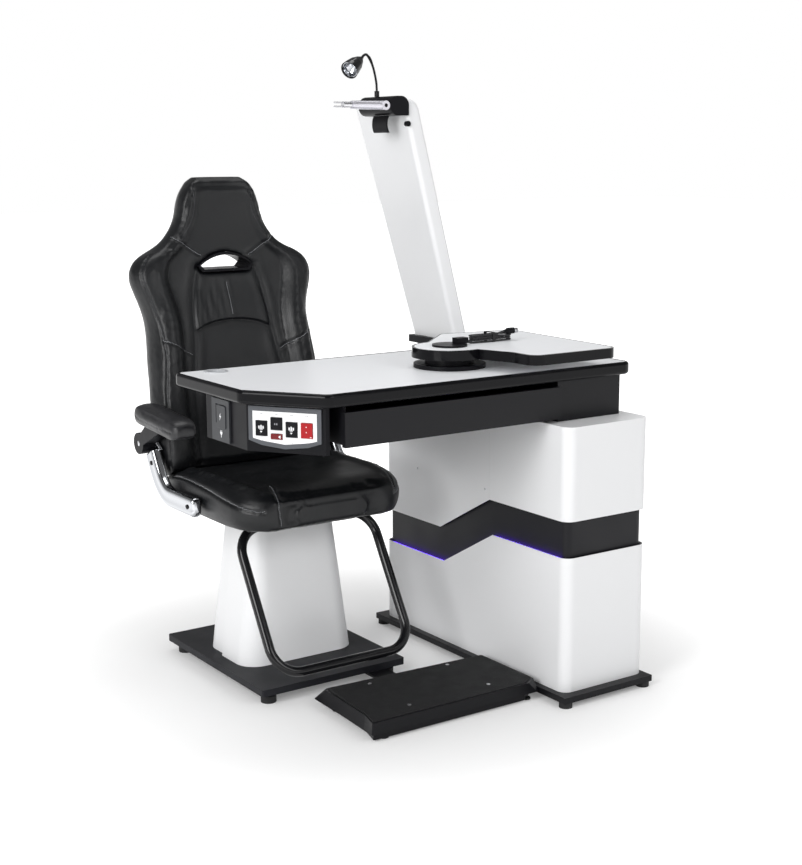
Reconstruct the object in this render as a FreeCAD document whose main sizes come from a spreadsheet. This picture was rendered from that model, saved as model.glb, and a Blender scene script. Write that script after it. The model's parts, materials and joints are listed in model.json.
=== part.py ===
"""Ophthalmic examination unit: a lifting patient chair joined to an instrument table.

All lengths are millimetres. +X runs along the table towards the cabinet, +Y to the back of the
chair, +Z up. The origin is on the floor, in the middle of the unit's outline.
"""

import FreeCAD, Part
import math
import os

import Sketcher
from FreeCAD import Vector

OUTPUT_FOLDER = "parts"

LENGTHS = {
    # Chair base on the floor
    "chair_x": -172.0,
    "lift_y": 185.0,
    "plate_left": -382.0,
    "plate_right": 48.0,
    "plate_front_y": -90.0,
    "plate_back": 450.0,
    "plate_bottom": 28.0,
    "plate_thickness": 18.0,
    "plate_corner": 6.0,
    "foot_radius": 20.0,
    "foot_neck_radius": 13.0,
    "foot_puck_height": 18.0,
    "foot_inset": 36.0,
    # White pedestal cover and the lifting column inside it
    "cover_half_width": 170.0,
    "cover_taper": 46.0,
    "cover_front": 66.0,
    "cover_back": 312.0,
    "cover_front_taper": 18.0,
    "cover_back_taper": 14.0,
    "cover_top": 405.0,
    "cover_wall": 4.0,
    "cover_corner": 58.0,
    "cover_lobe_step": 10.0,
    "cover_lobe_y": 205.0,
    "lift_tube_width": 110.0,
    "lift_tube_wall": 5.0,
    "lift_tube_top": 385.0,
    "lift_flange_width": 170.0,
    "lift_flange_thickness": 8.0,
    "lift_clearance": 0.2,
    "lift_inner_bottom": 92.0,
    "lift_inner_wall": 4.0,
    # Footboard between the chair and the cabinet
    "board_left": -284.0,
    "board_right": 226.0,
    "board_front": -438.0,
    "board_back": -147.0,
    "board_top": 50.0,
    "board_skirt": 28.0,
    "board_sheet": 3.0,
    "board_frame_inset": 8.0,
    "board_frame_bottom": 4.0,
    "board_frame_bar": 30.0,
    "board_foot_radius": 12.0,
    "board_foot_left": -236.0,
    "board_foot_right": 199.0,
    "board_foot_front": -414.0,
    "board_foot_back": -206.0,
    "mat_thickness": 2.0,
    "mat_margin": 5.0,
    "screw_radius": 5.0,
    "screw_head": 1.6,
    "screw_span_x": 242.0,
    "screw_span_y": 174.0,
    "screw_centre_x": -24.0,
    "screw_centre_y": -303.0,
    "link_left": -70.0,
    "link_right": -10.0,
    "link_front": -215.0,
    "link_reach": 60.0,
    "link_thickness": 6.0,
    "hook_left": 200.0,
    "hook_height": 14.0,
    "hook_front": -300.0,
    "hook_back": -196.0,
    # Cabinet: floor frame, lower shell, telescoping sleeve, upper shell
    "frame_left": 228.0,
    "frame_right": 524.0,
    "frame_front": -532.0,
    "frame_back": 318.0,
    "frame_bottom": 14.0,
    "frame_thickness": 16.0,
    "frame_bar": 34.0,
    "frame_boss_radius": 23.0,
    "cabinet_foot_radius": 17.0,
    "shell_left": 246.0,
    "shell_right": 519.0,
    "shell_front": -506.0,
    "shell_back": 294.0,
    "shell_sheet": 2.0,
    "shell_corner": 28.0,
    "low_top_front": 378.0,
    "low_top_back": 258.0,
    "low_peak_y": -211.0,
    "low_valley_y": 5.0,
    "up_bottom_front": 471.0,
    "up_bottom_back": 352.0,
    "up_peak_y": -197.0,
    "up_valley_y": 21.0,
    "cabinet_top": 708.0,
    "sleeve_gap": 8.0,
    "sleeve_bottom": 40.0,
    "sleeve_top": 520.0,
    "sleeve_sheet": 2.0,
    "led_width": 5.0,
    "led_height": 5.0,
    "led_end_margin": 30.0,
    "panel_gap": 0.6,
    "panel_top_margin": 22.0,
    "leg_half_x": 60.0,
    "leg_half_y": 90.0,
    "leg_y": -106.0,
    "leg_wall": 5.0,
    "leg_outer_top": 400.0,
    "leg_inner_bottom": 72.0,
    "leg_bore_margin": 30.0,
    # Instrument table
    "table_left": -524.0,
    "table_right": 514.0,
    "table_front": -443.0,
    "table_back": 72.0,
    "table_bottom": 812.0,
    "table_thickness": 30.0,
    "chamfer_start_y": -267.0,
    "chamfer_end_x": -395.0,
    "table_corner": 28.0,
    "band_width": 9.0,
    "band_proud": 1.0,
    "band_round": 8.0,
    "grommet_x": -428.0,
    "grommet_y": 27.0,
    "grommet_hole": 25.0,
    "grommet_rim": 30.0,
    "grommet_rim_height": 2.0,
    "grommet_wall": 2.0,
    # Drawer housing and apron under the table
    "housing_left": -342.0,
    "housing_right": 282.0,
    "housing_front": -424.0,
    "housing_back": 40.0,
    "housing_bottom": 720.0,
    "housing_sheet": 2.0,
    "apron_right": 486.0,
    "drawer_front_left": -351.0,
    "drawer_front_right": 278.0,
    "drawer_front_bottom": 718.0,
    "drawer_front_top": 798.0,
    "drawer_front_thickness": 14.0,
    "drawer_side_gap": 4.0,
    "drawer_bottom": 727.0,
    "drawer_top": 790.0,
    "drawer_depth": 420.0,
    "drawer_sheet": 2.0,
    "rail_gap": 0.3,
    "rail_bottom": 748.0,
    "rail_height": 20.0,
    "rail_end_margin": 14.0,
    # Control housing under the table's left end, with its switch panel
    "control_left": -498.0,
    "control_right": -374.0,
    "control_front": -411.0,
    "control_back": -50.0,
    "control_chamfer_y": -255.5,
    "control_chamfer_x": -384.0,
    "control_bottom": 700.0,
    "control_wall": 3.0,
    "control_corner": 8.0,
    "bezel_offset": 6.0,
    "bezel_width": 178.0,
    "bezel_top": 805.0,
    "bezel_side_height": 78.0,
    "bezel_sag": 17.0,
    "bezel_thickness": 5.0,
    "face_margin": 10.5,
    "face_proud": 1.0,
    "switch_side_inset": 18.0,
    "switch_pitch": 37.0,
    "switch_width": 29.0,
    "switch_height": 36.0,
    "switch_top_drop": 31.5,
    "lamp_switch_drop": 22.5,
    "lamp_switch_height": 30.0,
    "small_switch_drop": 60.0,
    "small_switch_height": 14.0,
    "switch_clearance": 0.8,
    "switch_depth": 8.0,
    "switch_proud": 3.0,
    "socket_front": -178.0,
    "socket_back": -92.0,
    "socket_bottom": 703.0,
    "socket_top": 803.0,
    "socket_thickness": 5.0,
    "socket_recess": 2.5,
    # Turntable and instrument tray
    "pivot_x": 86.0,
    "pivot_y": -237.0,
    "turntable_radius": 90.0,
    "turntable_height": 10.0,
    "hub_radius": 62.0,
    "tray_bottom": 868.0,
    "tray_thickness": 25.0,
    "tray_lift_gap": 0.3,
    "spindle_radius": 9.0,
    "spindle_length": 18.0,
    "running_gap": 0.05,
    "tray_end_radius": 95.0,
    "tray_band": 7.0,
    "tray_corner": 32.0,
    "tray_neck_x": 138.0,
    "tray_neck_y": -425.0,
    "tray_front": -502.0,
    "tray_right": 408.0,
    "tray_right_lean": 22.0,
    "tray_back": -50.0,
    "tray_back_left_x": 215.0,
    "tray_back_rise": 28.0,
    "cap_radius": 44.0,
    "cap_height": 5.0,
    "outlet_length": 34.0,
    "outlet_width": 22.0,
    "outlet_height": 14.0,
    "outlet_offset": 16.0,
    "lead_dip": 20.0,
    "hank_start": 42.0,
    "hank_run": 92.0,
    "plug_radius": 8.0,
    "plug_length": 42.0,
    "plug_setback": 12.0,
    "lead_radius": 2.5,
    "lead_pitch": 5.6,
    "lead_bend": 15.0,
    # Leaning column with its collar
    "column_foot_x": 376.0,
    "column_lean": 210.0,
    "column_width": 48.0,
    "column_front": 80.0,
    "column_base_depth": 180.0,
    "column_depth_top": 238.0,
    "column_top": 1506.0,
    "column_wall": 3.0,
    "column_edge": 12.0,
    "column_shoulder": 40.0,
    "collar_bottom": 834.0,
    "collar_height": 20.0,
    "collar_margin": 14.0,
    # Head housing, instrument arm, grip and lock button
    "head_left": 122.0,
    "head_right": 182.0,
    "head_front": 75.0,
    "head_back": 226.0,
    "head_bottom": 1461.0,
    "head_height": 50.0,
    "head_round": 24.0,
    "arm_axis_x": 108.0,
    "arm_axis_y": 84.0,
    "arm_axis_z": 1486.0,
    "arm_radius": 12.0,
    "arm_end_radius": 10.5,
    "arm_length": 100.0,
    "arm_pin_radius": 5.0,
    "arm_bore": 8.0,
    "ear_thickness": 8.0,
    "ear_half_height": 11.0,
    "inner_length": 84.0,
    "inner_reach": 26.0,
    "prong_radius": 2.2,
    "prong_length": 26.0,
    "prong_spacing": 10.0,
    "grip_front": 105.0,
    "grip_back": 173.0,
    "grip_radius": 45.0,
    "grip_sheet": 4.0,
    "grip_centre_x": 175.0,
    "grip_drop": 44.0,
    "button_x": 181.0,
    "button_z": 1440.0,
    "button_radius": 7.0,
    "button_gap": 0.3,
    "button_length": 12.0,
    "button_proud": 4.5,
    # Gooseneck lamp on the head
    "lamp_x": 148.0,
    "lamp_y": 176.0,
    "ferrule_radius": 6.5,
    "ferrule_height": 15.0,
    "neck_radius": 2.6,
    "lamp_joint_rise": 98.7,
    "lamp_joint_reach": 47.0,
    "shade_length": 67.83,
    "shade_rim_radius": 24.0,
    "shade_back_radius": 6.0,
    "shade_wall": 1.6,
    "shade_start": 5.0,
    "reflector_depth": 26.0,
    "reflector_wall": 1.2,
    "bulb_radius": 5.0,
    # Seat carried by the chair lift
    "pan_bottom": 441.0,
    "pan_thickness": 4.0,
    "pan_half_width": 205.0,
    "pan_front": -30.0,
    "pan_back": 380.0,
    "footbar_half_width": 202.0,
    "footbar_radius": 12.5,
    "footbar_low_y": -152.0,
    "footbar_low_z": 100.0,
    "footbar_high_y": 50.0,
    "footbar_bend": 72.0,
    "seat_front": -102.0,
    "seat_back": 408.0,
    "seat_half_width": 258.0,
    "seat_height": 101.0,
    "seat_side_gap": 3.3,
    "seat_base_gap": 0.9,
    # Backrest
    "back_bottom": 535.0,
    "back_top": 1303.0,
    "back_overhang": 13.0,
    "back_rear": 532.0,
    "back_depth": 72.0,
    "handle_half_width": 84.0,
    "handle_bottom": 1048.0,
    "handle_height": 52.0,
    "handle_rim": 7.0,
    # Arm brackets, pivots and pads
    "bracket_gap": 0.3,
    "bracket_thickness": 31.0,
    "bracket_width": 51.0,
    "bracket_front": 115.0,
    "bracket_low_z": 457.0,
    "bracket_elbow_y": 286.0,
    "bracket_knee_y": 345.0,
    "bracket_knee_z": 483.0,
    "bracket_top_y": 392.0,
    "bracket_top_z": 568.0,
    "bracket_top_width": 52.0,
    "bracket_top_rise": 28.0,
    "bracket_round": 14.0,
    "tab_thickness": 9.0,
    "tab_radius": 23.0,
    "arm_pivot_y": 398.0,
    "arm_pivot_z": 608.0,
    "pivot_pin_radius": 8.0,
    "pivot_gap": 0.3,
    "block_radius": 29.0,
    "block_thickness": 34.0,
    "block_web": 94.0,
    "block_setback": 16.0,
    "pad_offset": 305.0,
    "pad_half_width": 37.0,
    "pad_front": 98.0,
    "pad_back": 350.0,
    "pad_bottom_back": 677.0,
    "pad_fall": 17.0,
    "pad_height": 54.0,
    "cut_overrun": 5.0,
}

# Corners of the footboard seen from above, from its front left one round by the right. Each row
# gives the sides that the corner is measured from, how far in its rim and its top edge lie from
# them, and its radius.
BOARD_CORNERS = (
    (-1, -1, (0.0, 0.0), (3.0, 3.0), 4.0),
    (1, -1, (10.0, 0.0), (36.0, 1.0), 6.0),
    (1, -1, (0.0, 8.0), (3.0, 24.0), 6.0),
    (1, 1, (0.0, 28.0), (4.0, 52.0), 6.0),
    (-1, 1, (12.0, 0.0), (28.0, 26.0), 14.0),
    (-1, -1, (5.0, 44.0), (17.0, 56.0), 30.0),
)

# Outline of the backrest from its bottom to its top. Each row gives, as shares, the height, the
# half width, how far the front lies back, how far the side bolsters stand forward, and the depth.
BACK_SHARES = (
    (0.000, 0.800, 0.000, 0.12, 0.93),
    (0.025, 0.915, 0.012, 0.30, 0.93),
    (0.115, 0.943, 0.130, 0.42, 0.93),
    (0.220, 0.948, 0.270, 0.46, 1.00),
    (0.350, 0.915, 0.455, 0.48, 1.16),
    (0.480, 0.882, 0.650, 0.48, 1.22),
    (0.560, 0.920, 0.775, 0.46, 1.14),
    (0.660, 1.000, 0.905, 0.42, 0.95),
    (0.715, 0.925, 0.950, 0.34, 0.93),
    (0.752, 0.740, 0.975, 0.20, 0.93),
    (0.787, 0.600, 0.985, 0.12, 0.93),
    (0.830, 0.510, 0.995, 0.10, 0.93),
    (0.895, 0.450, 1.000, 0.10, 0.90),
    (0.948, 0.395, 1.000, 0.08, 0.90),
    (0.982, 0.325, 1.000, 0.06, 0.90),
)
BACK_LEAN_DEPTH = 0.93

# Sections of the seat cushion from front to back: place along the depth, half width, height of
# the middle, height of the side bolsters and height of the underside, as shares.
SEAT_SHARES = (
    (0.000, 0.400, 0.52, 0.52, 0.20),
    (0.014, 0.640, 0.68, 0.68, 0.09),
    (0.042, 0.790, 0.81, 0.81, 0.03),
    (0.085, 0.880, 0.87, 0.88, 0.01),
    (0.135, 0.945, 0.91, 0.93, 0.00),
    (0.200, 0.980, 0.91, 0.97, 0.00),
    (0.310, 0.997, 0.90, 1.00, 0.00),
    (0.507, 1.000, 0.86, 1.00, 0.00),
    (0.706, 1.000, 0.83, 0.98, 0.00),
    (0.820, 0.985, 0.81, 0.88, 0.00),
    (0.877, 0.970, 0.79, 0.80, 0.00),
    (0.986, 0.890, 0.70, 0.70, 0.04),
    (1.000, 0.820, 0.56, 0.56, 0.14),
)

# Sections of an arm pad from front to back: place along the length, half width and height.
PAD_SHARES = (
    (0.000, 0.60, 0.50),
    (0.030, 0.82, 0.76),
    (0.075, 0.94, 0.90),
    (0.150, 0.99, 0.98),
    (0.300, 1.00, 1.00),
    (0.500, 1.00, 1.00),
    (0.700, 1.00, 1.00),
    (0.850, 0.99, 0.98),
    (0.925, 0.94, 0.90),
    (0.970, 0.82, 0.76),
    (1.000, 0.60, 0.50),
)

# Where the lamp shade points: degrees about Z from +X, and degrees below level.
SHADE_TURN = 203.07
SHADE_DIP = 30.08

# Height of the gooseneck's top, as a share of its joint's height above the head.
NECK_PEAK = 1.094

# Profile of the lamp shade: distance along the shade and radius, as shares of length and rim.
SHADE_SHARES = ((0.00, 0.30), (0.16, 0.52), (0.45, 0.80), (0.78, 0.95), (1.00, 1.00))

LEAD_TURNS = 3

BODY_AXES = {"XY": "XY_Plane", "XZ": "XZ_Plane", "YZ": "YZ_Plane"}

doc = FreeCAD.newDocument("examination_unit")
sheet = doc.addObject("Spreadsheet::Sheet", "Sizes")
nodes = []


class Size:
    """A named length, or a sum of named lengths: its number and its sheet expression."""

    def __init__(self, text, number):
        self.text = text
        self.number = number

    def __add__(self, other):
        return Size(f"({self.text} + {other.text})", self.number + other.number)

    def __sub__(self, other):
        return Size(f"({self.text} - {other.text})", self.number - other.number)

    def __mul__(self, share):
        return Size(f"({self.text} * {share})", self.number * share)

    def __truediv__(self, share):
        return Size(f"({self.text} / {share})", self.number / share)

    def __neg__(self):
        return Size(f"(0 - {self.text})", -self.number)

    def __float__(self):
        return self.number


class Lengths:
    """The sheet's cells by name."""


def write_sheet():
    for row, (alias, value) in enumerate(LENGTHS.items(), 1):
        cell = f"A{row}"
        sheet.set(cell, str(value))
        sheet.setAlias(cell, alias)
    doc.recompute()
    for alias in LENGTHS:
        setattr(Lengths, alias, Size(f"Sizes.{alias}", float(sheet.get(alias))))


write_sheet()
L = Lengths
ZERO = L.cut_overrun - L.cut_overrun


def keep(label, thing):
    """Name a finished piece and list it as a node."""
    thing.Label = label
    nodes.append(thing)
    return thing


def bind(thing, name, size):
    thing.setExpression(name, size.text)


def move(thing, x, y, z):
    bind(thing, "Placement.Base.x", x)
    bind(thing, "Placement.Base.y", y)
    bind(thing, "Placement.Base.z", z)


def box(name, x, y, z):
    """A box between two places on each axis."""
    thing = doc.addObject("Part::Box", name)
    bind(thing, "Length", x[1] - x[0])
    bind(thing, "Width", y[1] - y[0])
    bind(thing, "Height", z[1] - z[0])
    move(thing, x[0], y[0], z[0])
    return thing


TURNS = {
    "X": FreeCAD.Rotation(Vector(0, 1, 0), 90),
    "Y": FreeCAD.Rotation(Vector(1, 0, 0), -90),
    "Z": FreeCAD.Rotation(),
}


def cylinder(name, radius, length, x, y, z, axis="Z"):
    thing = doc.addObject("Part::Cylinder", name)
    thing.Placement = FreeCAD.Placement(Vector(), TURNS[axis])
    bind(thing, "Radius", radius)
    bind(thing, "Height", length)
    move(thing, x, y, z)
    return thing


def cut(name, base, tool):
    thing = doc.addObject("Part::Cut", name)
    thing.Base = base
    thing.Tool = tool
    return thing


def fuse(name, parts):
    thing = doc.addObject("Part::MultiFuse", name)
    thing.Shapes = parts
    return thing


def common(name, base, tool):
    thing = doc.addObject("Part::Common", name)
    thing.Base = base
    thing.Tool = tool
    return thing


def sketch_outline(sketch, points):
    """Draw a closed outline whose corners are bound to the sheet."""
    count = len(points)
    places = [Vector(float(u), float(v), 0) for u, v in points]
    for i in range(count):
        sketch.addGeometry(Part.LineSegment(places[i], places[(i + 1) % count]), False)
    for i in range(count):
        sketch.addConstraint(Sketcher.Constraint("Coincident", i, 2, (i + 1) % count, 1))
    for i, (u, v) in enumerate(points):
        for kind, size in (("DistanceX", u), ("DistanceY", v)):
            index = sketch.addConstraint(Sketcher.Constraint(kind, -1, 1, i, 1, float(size)))
            sketch.setExpression(f"Constraints[{index}]", size.text)


def new_sketch(body, plane, points, offset=None):
    sketch = body.newObject("Sketcher::SketchObject", body.Name + "_outline")
    planes = [f for f in body.Origin.OriginFeatures if f.Role == BODY_AXES[plane]]
    sketch.AttachmentSupport = [(planes[0], "")]
    sketch.MapMode = "FlatFace"
    if offset is not None:
        sketch.setExpression("AttachmentOffset.Base.z", offset.text)
    sketch_outline(sketch, points)
    return sketch


def is_along(edge, axis):
    if not isinstance(edge.Curve, Part.Line):
        return False
    direction = edge.tangentAt(edge.FirstParameter)
    return abs(getattr(direction, axis.lower())) > 0.999


def edge_middle(edge):
    return edge.valueAt((edge.FirstParameter + edge.LastParameter) / 2)


def round_edges(body, radius, wanted, kind="Fillet"):
    """Round or chamfer the edges of a body's last feature that pass a test."""
    doc.recompute()
    base = body.Tip
    names = [f"Edge{i}" for i, edge in enumerate(base.Shape.Edges, 1) if wanted(edge)]
    feature = body.newObject(f"PartDesign::{kind}", f"{body.Name}_{kind.lower()}")
    feature.Base = (base, names)
    bind(feature, "Radius" if kind == "Fillet" else "Size", radius)
    body.Tip = feature
    return body


def prism(name, plane, points, start, end, corner=None, corners=None):
    """Pad an outline between two places along its normal, and round its long edges."""
    body = doc.addObject("PartDesign::Body", name)
    offset = -end if plane == "XZ" else start
    sketch = new_sketch(body, plane, points, offset)
    pad = body.newObject("PartDesign::Pad", name + "_pad")
    pad.Profile = sketch
    bind(pad, "Length", end - start)
    body.Tip = pad
    axis = {"XY": "Z", "XZ": "Y", "YZ": "X"}[plane]
    if corner is not None:
        test = corners or (lambda edge: True)
        round_edges(body, corner, lambda edge: is_along(edge, axis) and test(edge))
    return body


def turned(name, points):
    """Revolve an outline of radius and height about the body's Z axis."""
    body = doc.addObject("PartDesign::Body", name)
    sketch = new_sketch(body, "XZ", points)
    feature = body.newObject("PartDesign::Revolution", name + "_turn")
    feature.Profile = sketch
    feature.ReferenceAxis = (sketch, ["V_Axis"])
    feature.Angle = 360
    body.Tip = feature
    return body


def rectangle(low_u, high_u, low_v, high_v):
    return [(low_u, low_v), (high_u, low_v), (high_u, high_v), (low_u, high_v)]


def rounded_wire(corners, radii, z):
    """A flat closed wire through corners given as numbers, with an arc at each corner."""
    count = len(corners)
    edges = []
    ends = []
    for i in range(count):
        here = Vector(*corners[i], z)
        before = (Vector(*corners[i - 1], z) - here).normalize()
        after = (Vector(*corners[(i + 1) % count], z) - here).normalize()
        half = before.getAngle(after) / 2
        reach = radii[i] / math.tan(half)
        middle = (before + after).normalize()
        centre = here + middle * (radii[i] / math.sin(half))
        ends.append((here + before * reach, centre - middle * radii[i], here + after * reach))
    for i in range(count):
        first, on_arc, last = ends[i]
        edges.append(Part.Arc(first, on_arc, last).toShape())
        following = ends[(i + 1) % count][0]
        edges.append(Part.LineSegment(last, following).toShape())
    return Part.Wire(edges)


def shape_feature(name, shape):
    thing = doc.addObject("Part::Feature", name)
    thing.Shape = shape
    return thing


def make_chair_base():
    plate_top = L.plate_bottom + L.plate_thickness
    outline = rectangle(L.plate_left, L.plate_right, L.plate_front_y, L.plate_back)
    plate = prism("base_plate", "XY", outline, L.plate_bottom, plate_top, L.plate_corner)
    keep("base_plate", plate)

    feet = []
    for x in (L.plate_left + L.foot_inset, L.plate_right - L.foot_inset):
        for y in (L.plate_front_y + L.foot_inset, L.plate_back - L.foot_inset):
            puck = cylinder("foot_puck", L.foot_radius, L.foot_puck_height, x, y, ZERO)
            neck = cylinder("foot_neck", L.foot_neck_radius, L.plate_bottom, x, y, ZERO)
            feet.append(fuse("foot", [puck, neck]))
    for x in (L.board_foot_left, L.board_foot_right):
        for y in (L.board_foot_front, L.board_foot_back):
            feet.append(cylinder("foot_board", L.board_foot_radius, L.board_frame_bottom, x, y, ZERO))
    for x in (L.frame_left + L.frame_bar / 2, L.frame_right - L.frame_bar / 2):
        for y in (L.frame_front + L.frame_bar / 2, L.frame_back - L.frame_bar / 2):
            feet.append(cylinder("foot_cabinet", L.cabinet_foot_radius, L.frame_bottom, x, y, ZERO))
    keep("floor_feet", fuse("floor_feet", feet))
    make_pedestal(plate_top)


def pedestal_outline(inset, top_share, z):
    """The cover's outline at a height, as a wire: a front lobe and a narrower rear lobe."""
    half = float(L.cover_half_width) - float(L.cover_taper) * top_share - inset
    front = float(L.cover_front) + float(L.cover_front_taper) * top_share + inset
    back = float(L.cover_back) - float(L.cover_back_taper) * top_share - inset
    step = float(L.cover_lobe_step)
    lobe = float(L.cover_lobe_y) - inset
    x = float(L.chair_x)
    corner = float(L.cover_corner) - float(L.cover_corner) * top_share / 4 - inset
    small = step / 2
    points = [
        (x - half, front),
        (x + half, front),
        (x + half, lobe),
        (x + half - step, lobe + step),
        (x + half - step, back),
        (x - half + step, back),
        (x - half + step, lobe + step),
        (x - half, lobe),
    ]
    radii = [corner, corner, small, small, corner * 0.8, corner * 0.8, small, small]
    return rounded_wire(points, radii, z)


def make_pedestal(plate_top):
    low = float(plate_top)
    high = float(L.cover_top)
    wall = float(L.cover_wall)
    outer = Part.makeLoft([pedestal_outline(0, 0, low), pedestal_outline(0, 1, high)], True, True)
    inner = Part.makeLoft(
        [pedestal_outline(wall, 0, low), pedestal_outline(wall, 1, high)], True, True
    )
    keep("pedestal_cover", shape_feature("pedestal_cover", outer.cut(inner)))

    half = L.lift_tube_width / 2
    x = (L.chair_x - half, L.chair_x + half)
    y = (L.lift_y - half, L.lift_y + half)
    wall = L.lift_tube_wall
    tube = box("lift_tube", x, y, (plate_top, L.lift_tube_top))
    flange_half = L.lift_flange_width / 2
    flange = box(
        "lift_flange",
        (L.chair_x - flange_half, L.chair_x + flange_half),
        (L.lift_y - flange_half, L.lift_y + flange_half),
        (plate_top, plate_top + L.lift_flange_thickness),
    )
    bore = box(
        "lift_bore",
        (x[0] + wall, x[1] - wall),
        (y[0] + wall, y[1] - wall),
        (plate_top, L.lift_tube_top + L.cut_overrun),
    )
    keep("chair_lift_outer", cut("chair_lift_outer", fuse("lift_body", [tube, flange]), bore))

    gap = wall + L.lift_clearance
    inner_wall = L.lift_inner_wall
    inner = box(
        "lift_inner",
        (x[0] + gap, x[1] - gap),
        (y[0] + gap, y[1] - gap),
        (L.lift_inner_bottom, L.pan_bottom),
    )
    inner_bore = box(
        "lift_inner_bore",
        (x[0] + gap + inner_wall, x[1] - gap - inner_wall),
        (y[0] + gap + inner_wall, y[1] - gap - inner_wall),
        (L.lift_inner_bottom - L.cut_overrun, L.pan_bottom - inner_wall),
    )
    keep("chair_lift_inner", cut("chair_lift_inner", inner, inner_bore))


def board_wire(level, inset, z):
    """The footboard's outline as a wire, at its rim (level 0) or at its top edge (level 1)."""
    points = []
    for side_x, side_y, rim, top, _ in BOARD_CORNERS:
        in_x, in_y = (share + inset for share in (rim, top)[level])
        x = float(L.board_left) + in_x if side_x < 0 else float(L.board_right) - in_x
        y = float(L.board_front) + in_y if side_y < 0 else float(L.board_back) - in_y
        points.append((x, y))
    return rounded_wire(points, [row[4] for row in BOARD_CORNERS], z)


def board_plate(inset, low, high):
    """A straight plate with the top edge's outline."""
    return Part.Face(board_wire(1, inset, low)).extrude(Vector(0, 0, high - low))


def make_footboard():
    rim = float(L.board_top - L.board_skirt)
    top = float(L.board_top)
    sheet_edge = float(L.board_sheet)
    outer = Part.makeLoft([board_wire(0, 0.0, rim), board_wire(1, 0.0, top)], True, True)
    hollow = Part.makeLoft(
        [board_wire(0, sheet_edge, rim), board_wire(1, sheet_edge, top - sheet_edge)], True, True
    )
    skin = shape_feature("board_skin", outer.cut(hollow))

    inset = float(L.board_frame_inset)
    low = float(L.board_frame_bottom)
    high = top - sheet_edge / 2
    over = float(L.cut_overrun)
    window = board_plate(inset + float(L.board_frame_bar), low - over, high + over)
    frame = shape_feature("board_frame", board_plate(inset, low, high).cut(window))
    link = box(
        "board_link",
        (L.link_left, L.link_right),
        (L.link_front, L.plate_front_y + L.link_reach),
        (L.plate_bottom - L.link_thickness, L.plate_bottom),
    )
    hook = box(
        "board_hook",
        (L.hook_left, L.frame_left),
        (L.hook_front, L.hook_back),
        (L.frame_bottom, L.frame_bottom + L.hook_height),
    )
    keep("footboard_body", fuse("footboard_body", [skin, frame, link, hook]))

    mat_top = L.board_top + L.mat_thickness
    mat = shape_feature("footboard_mat", board_plate(float(L.mat_margin), top, float(mat_top)))
    keep("footboard_mat", mat)
    screws = []
    for x_side in (-1, 1):
        for y_side in (-1, 1):
            place_x = L.screw_centre_x + L.screw_span_x * x_side / 2
            place_y = L.screw_centre_y + L.screw_span_y * y_side / 2
            screws.append(
                cylinder("board_screw", L.screw_radius, L.screw_head, place_x, place_y, mat_top)
            )
    keep("footboard_screws", fuse("footboard_screws", screws))


def lower_profile(rise):
    """The lower shell's top edge, from front to back, raised by a distance."""
    return [
        (L.shell_front, L.low_top_front + rise),
        (L.low_peak_y, L.low_top_front + rise),
        (L.low_valley_y, L.low_top_back + rise),
        (L.shell_back, L.low_top_back + rise),
    ]


def make_shell_hollow(name, low, high):
    sheet_edge = L.shell_sheet
    outline = rectangle(
        L.shell_left + sheet_edge,
        L.shell_right - sheet_edge,
        L.shell_front + sheet_edge,
        L.shell_back - sheet_edge,
    )
    return prism(name, "XY", outline, low, high, L.shell_corner - sheet_edge)


def make_cabinet_base():
    top = L.frame_bottom + L.frame_thickness
    z = (L.frame_bottom, top)
    bar = L.frame_bar
    over = L.cut_overrun
    plate = box("frame_plate", (L.frame_left, L.frame_right), (L.frame_front, L.frame_back), z)
    cross = L.leg_half_y + L.leg_bore_margin
    windows = [
        box(
            "frame_window",
            (L.frame_left + bar, L.frame_right - bar),
            span,
            (z[0] - over, z[1] + over),
        )
        for span in (
            (L.frame_front + bar, L.leg_y - cross),
            (L.leg_y + cross, L.frame_back - bar),
        )
    ]
    open_plate = cut("frame_open", plate, fuse("frame_windows", windows))
    keep("cabinet_frame", open_plate)

    shell_outline = [(L.shell_front, top)] + lower_profile(ZERO) + [(L.shell_back, top)]
    outer = prism("lower_outer", "YZ", shell_outline, L.shell_left, L.shell_right)
    round_edges(outer, L.shell_corner, lambda edge: is_along(edge, "Z"))
    hollow = make_shell_hollow("lower_hollow", top - over, L.low_top_front + over)
    keep("lower_shell", cut("lower_shell", outer, hollow))

    profile = lower_profile(-L.shell_sheet)
    front = L.shell_front + L.led_end_margin
    back = L.shell_back - L.led_end_margin
    upper_edge = [(front, profile[0][1]), profile[1], profile[2], (back, profile[3][1])]
    lower_edge = [(y, z - L.led_height) for y, z in reversed(upper_edge)]
    inside = L.shell_left + L.shell_sheet
    led = prism("led_strip", "YZ", lower_edge + upper_edge, inside, inside + L.led_width)
    keep("led_strip", led)

    centre = (L.shell_left + L.shell_right) / 2
    x = (centre - L.leg_half_x, centre + L.leg_half_x)
    y = (L.leg_y - L.leg_half_y, L.leg_y + L.leg_half_y)
    wall = L.leg_wall
    tube = box("leg_tube", x, y, (top, L.leg_outer_top))
    bore = box(
        "leg_bore", (x[0] + wall, x[1] - wall), (y[0] + wall, y[1] - wall), (top, L.leg_outer_top + over)
    )
    keep("table_lift_outer", cut("table_lift_outer", tube, bore))
    gap = wall + L.lift_clearance
    lid_bottom = L.cabinet_top - L.shell_sheet
    inner = box(
        "leg_inner", (x[0] + gap, x[1] - gap), (y[0] + gap, y[1] - gap), (L.leg_inner_bottom, lid_bottom)
    )
    inner_bore = box(
        "leg_inner_bore",
        (x[0] + gap + wall, x[1] - gap - wall),
        (y[0] + gap + wall, y[1] - gap - wall),
        (L.leg_inner_bottom - over, lid_bottom - wall),
    )
    keep("table_lift_inner", cut("table_lift_inner", inner, inner_bore))


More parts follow.
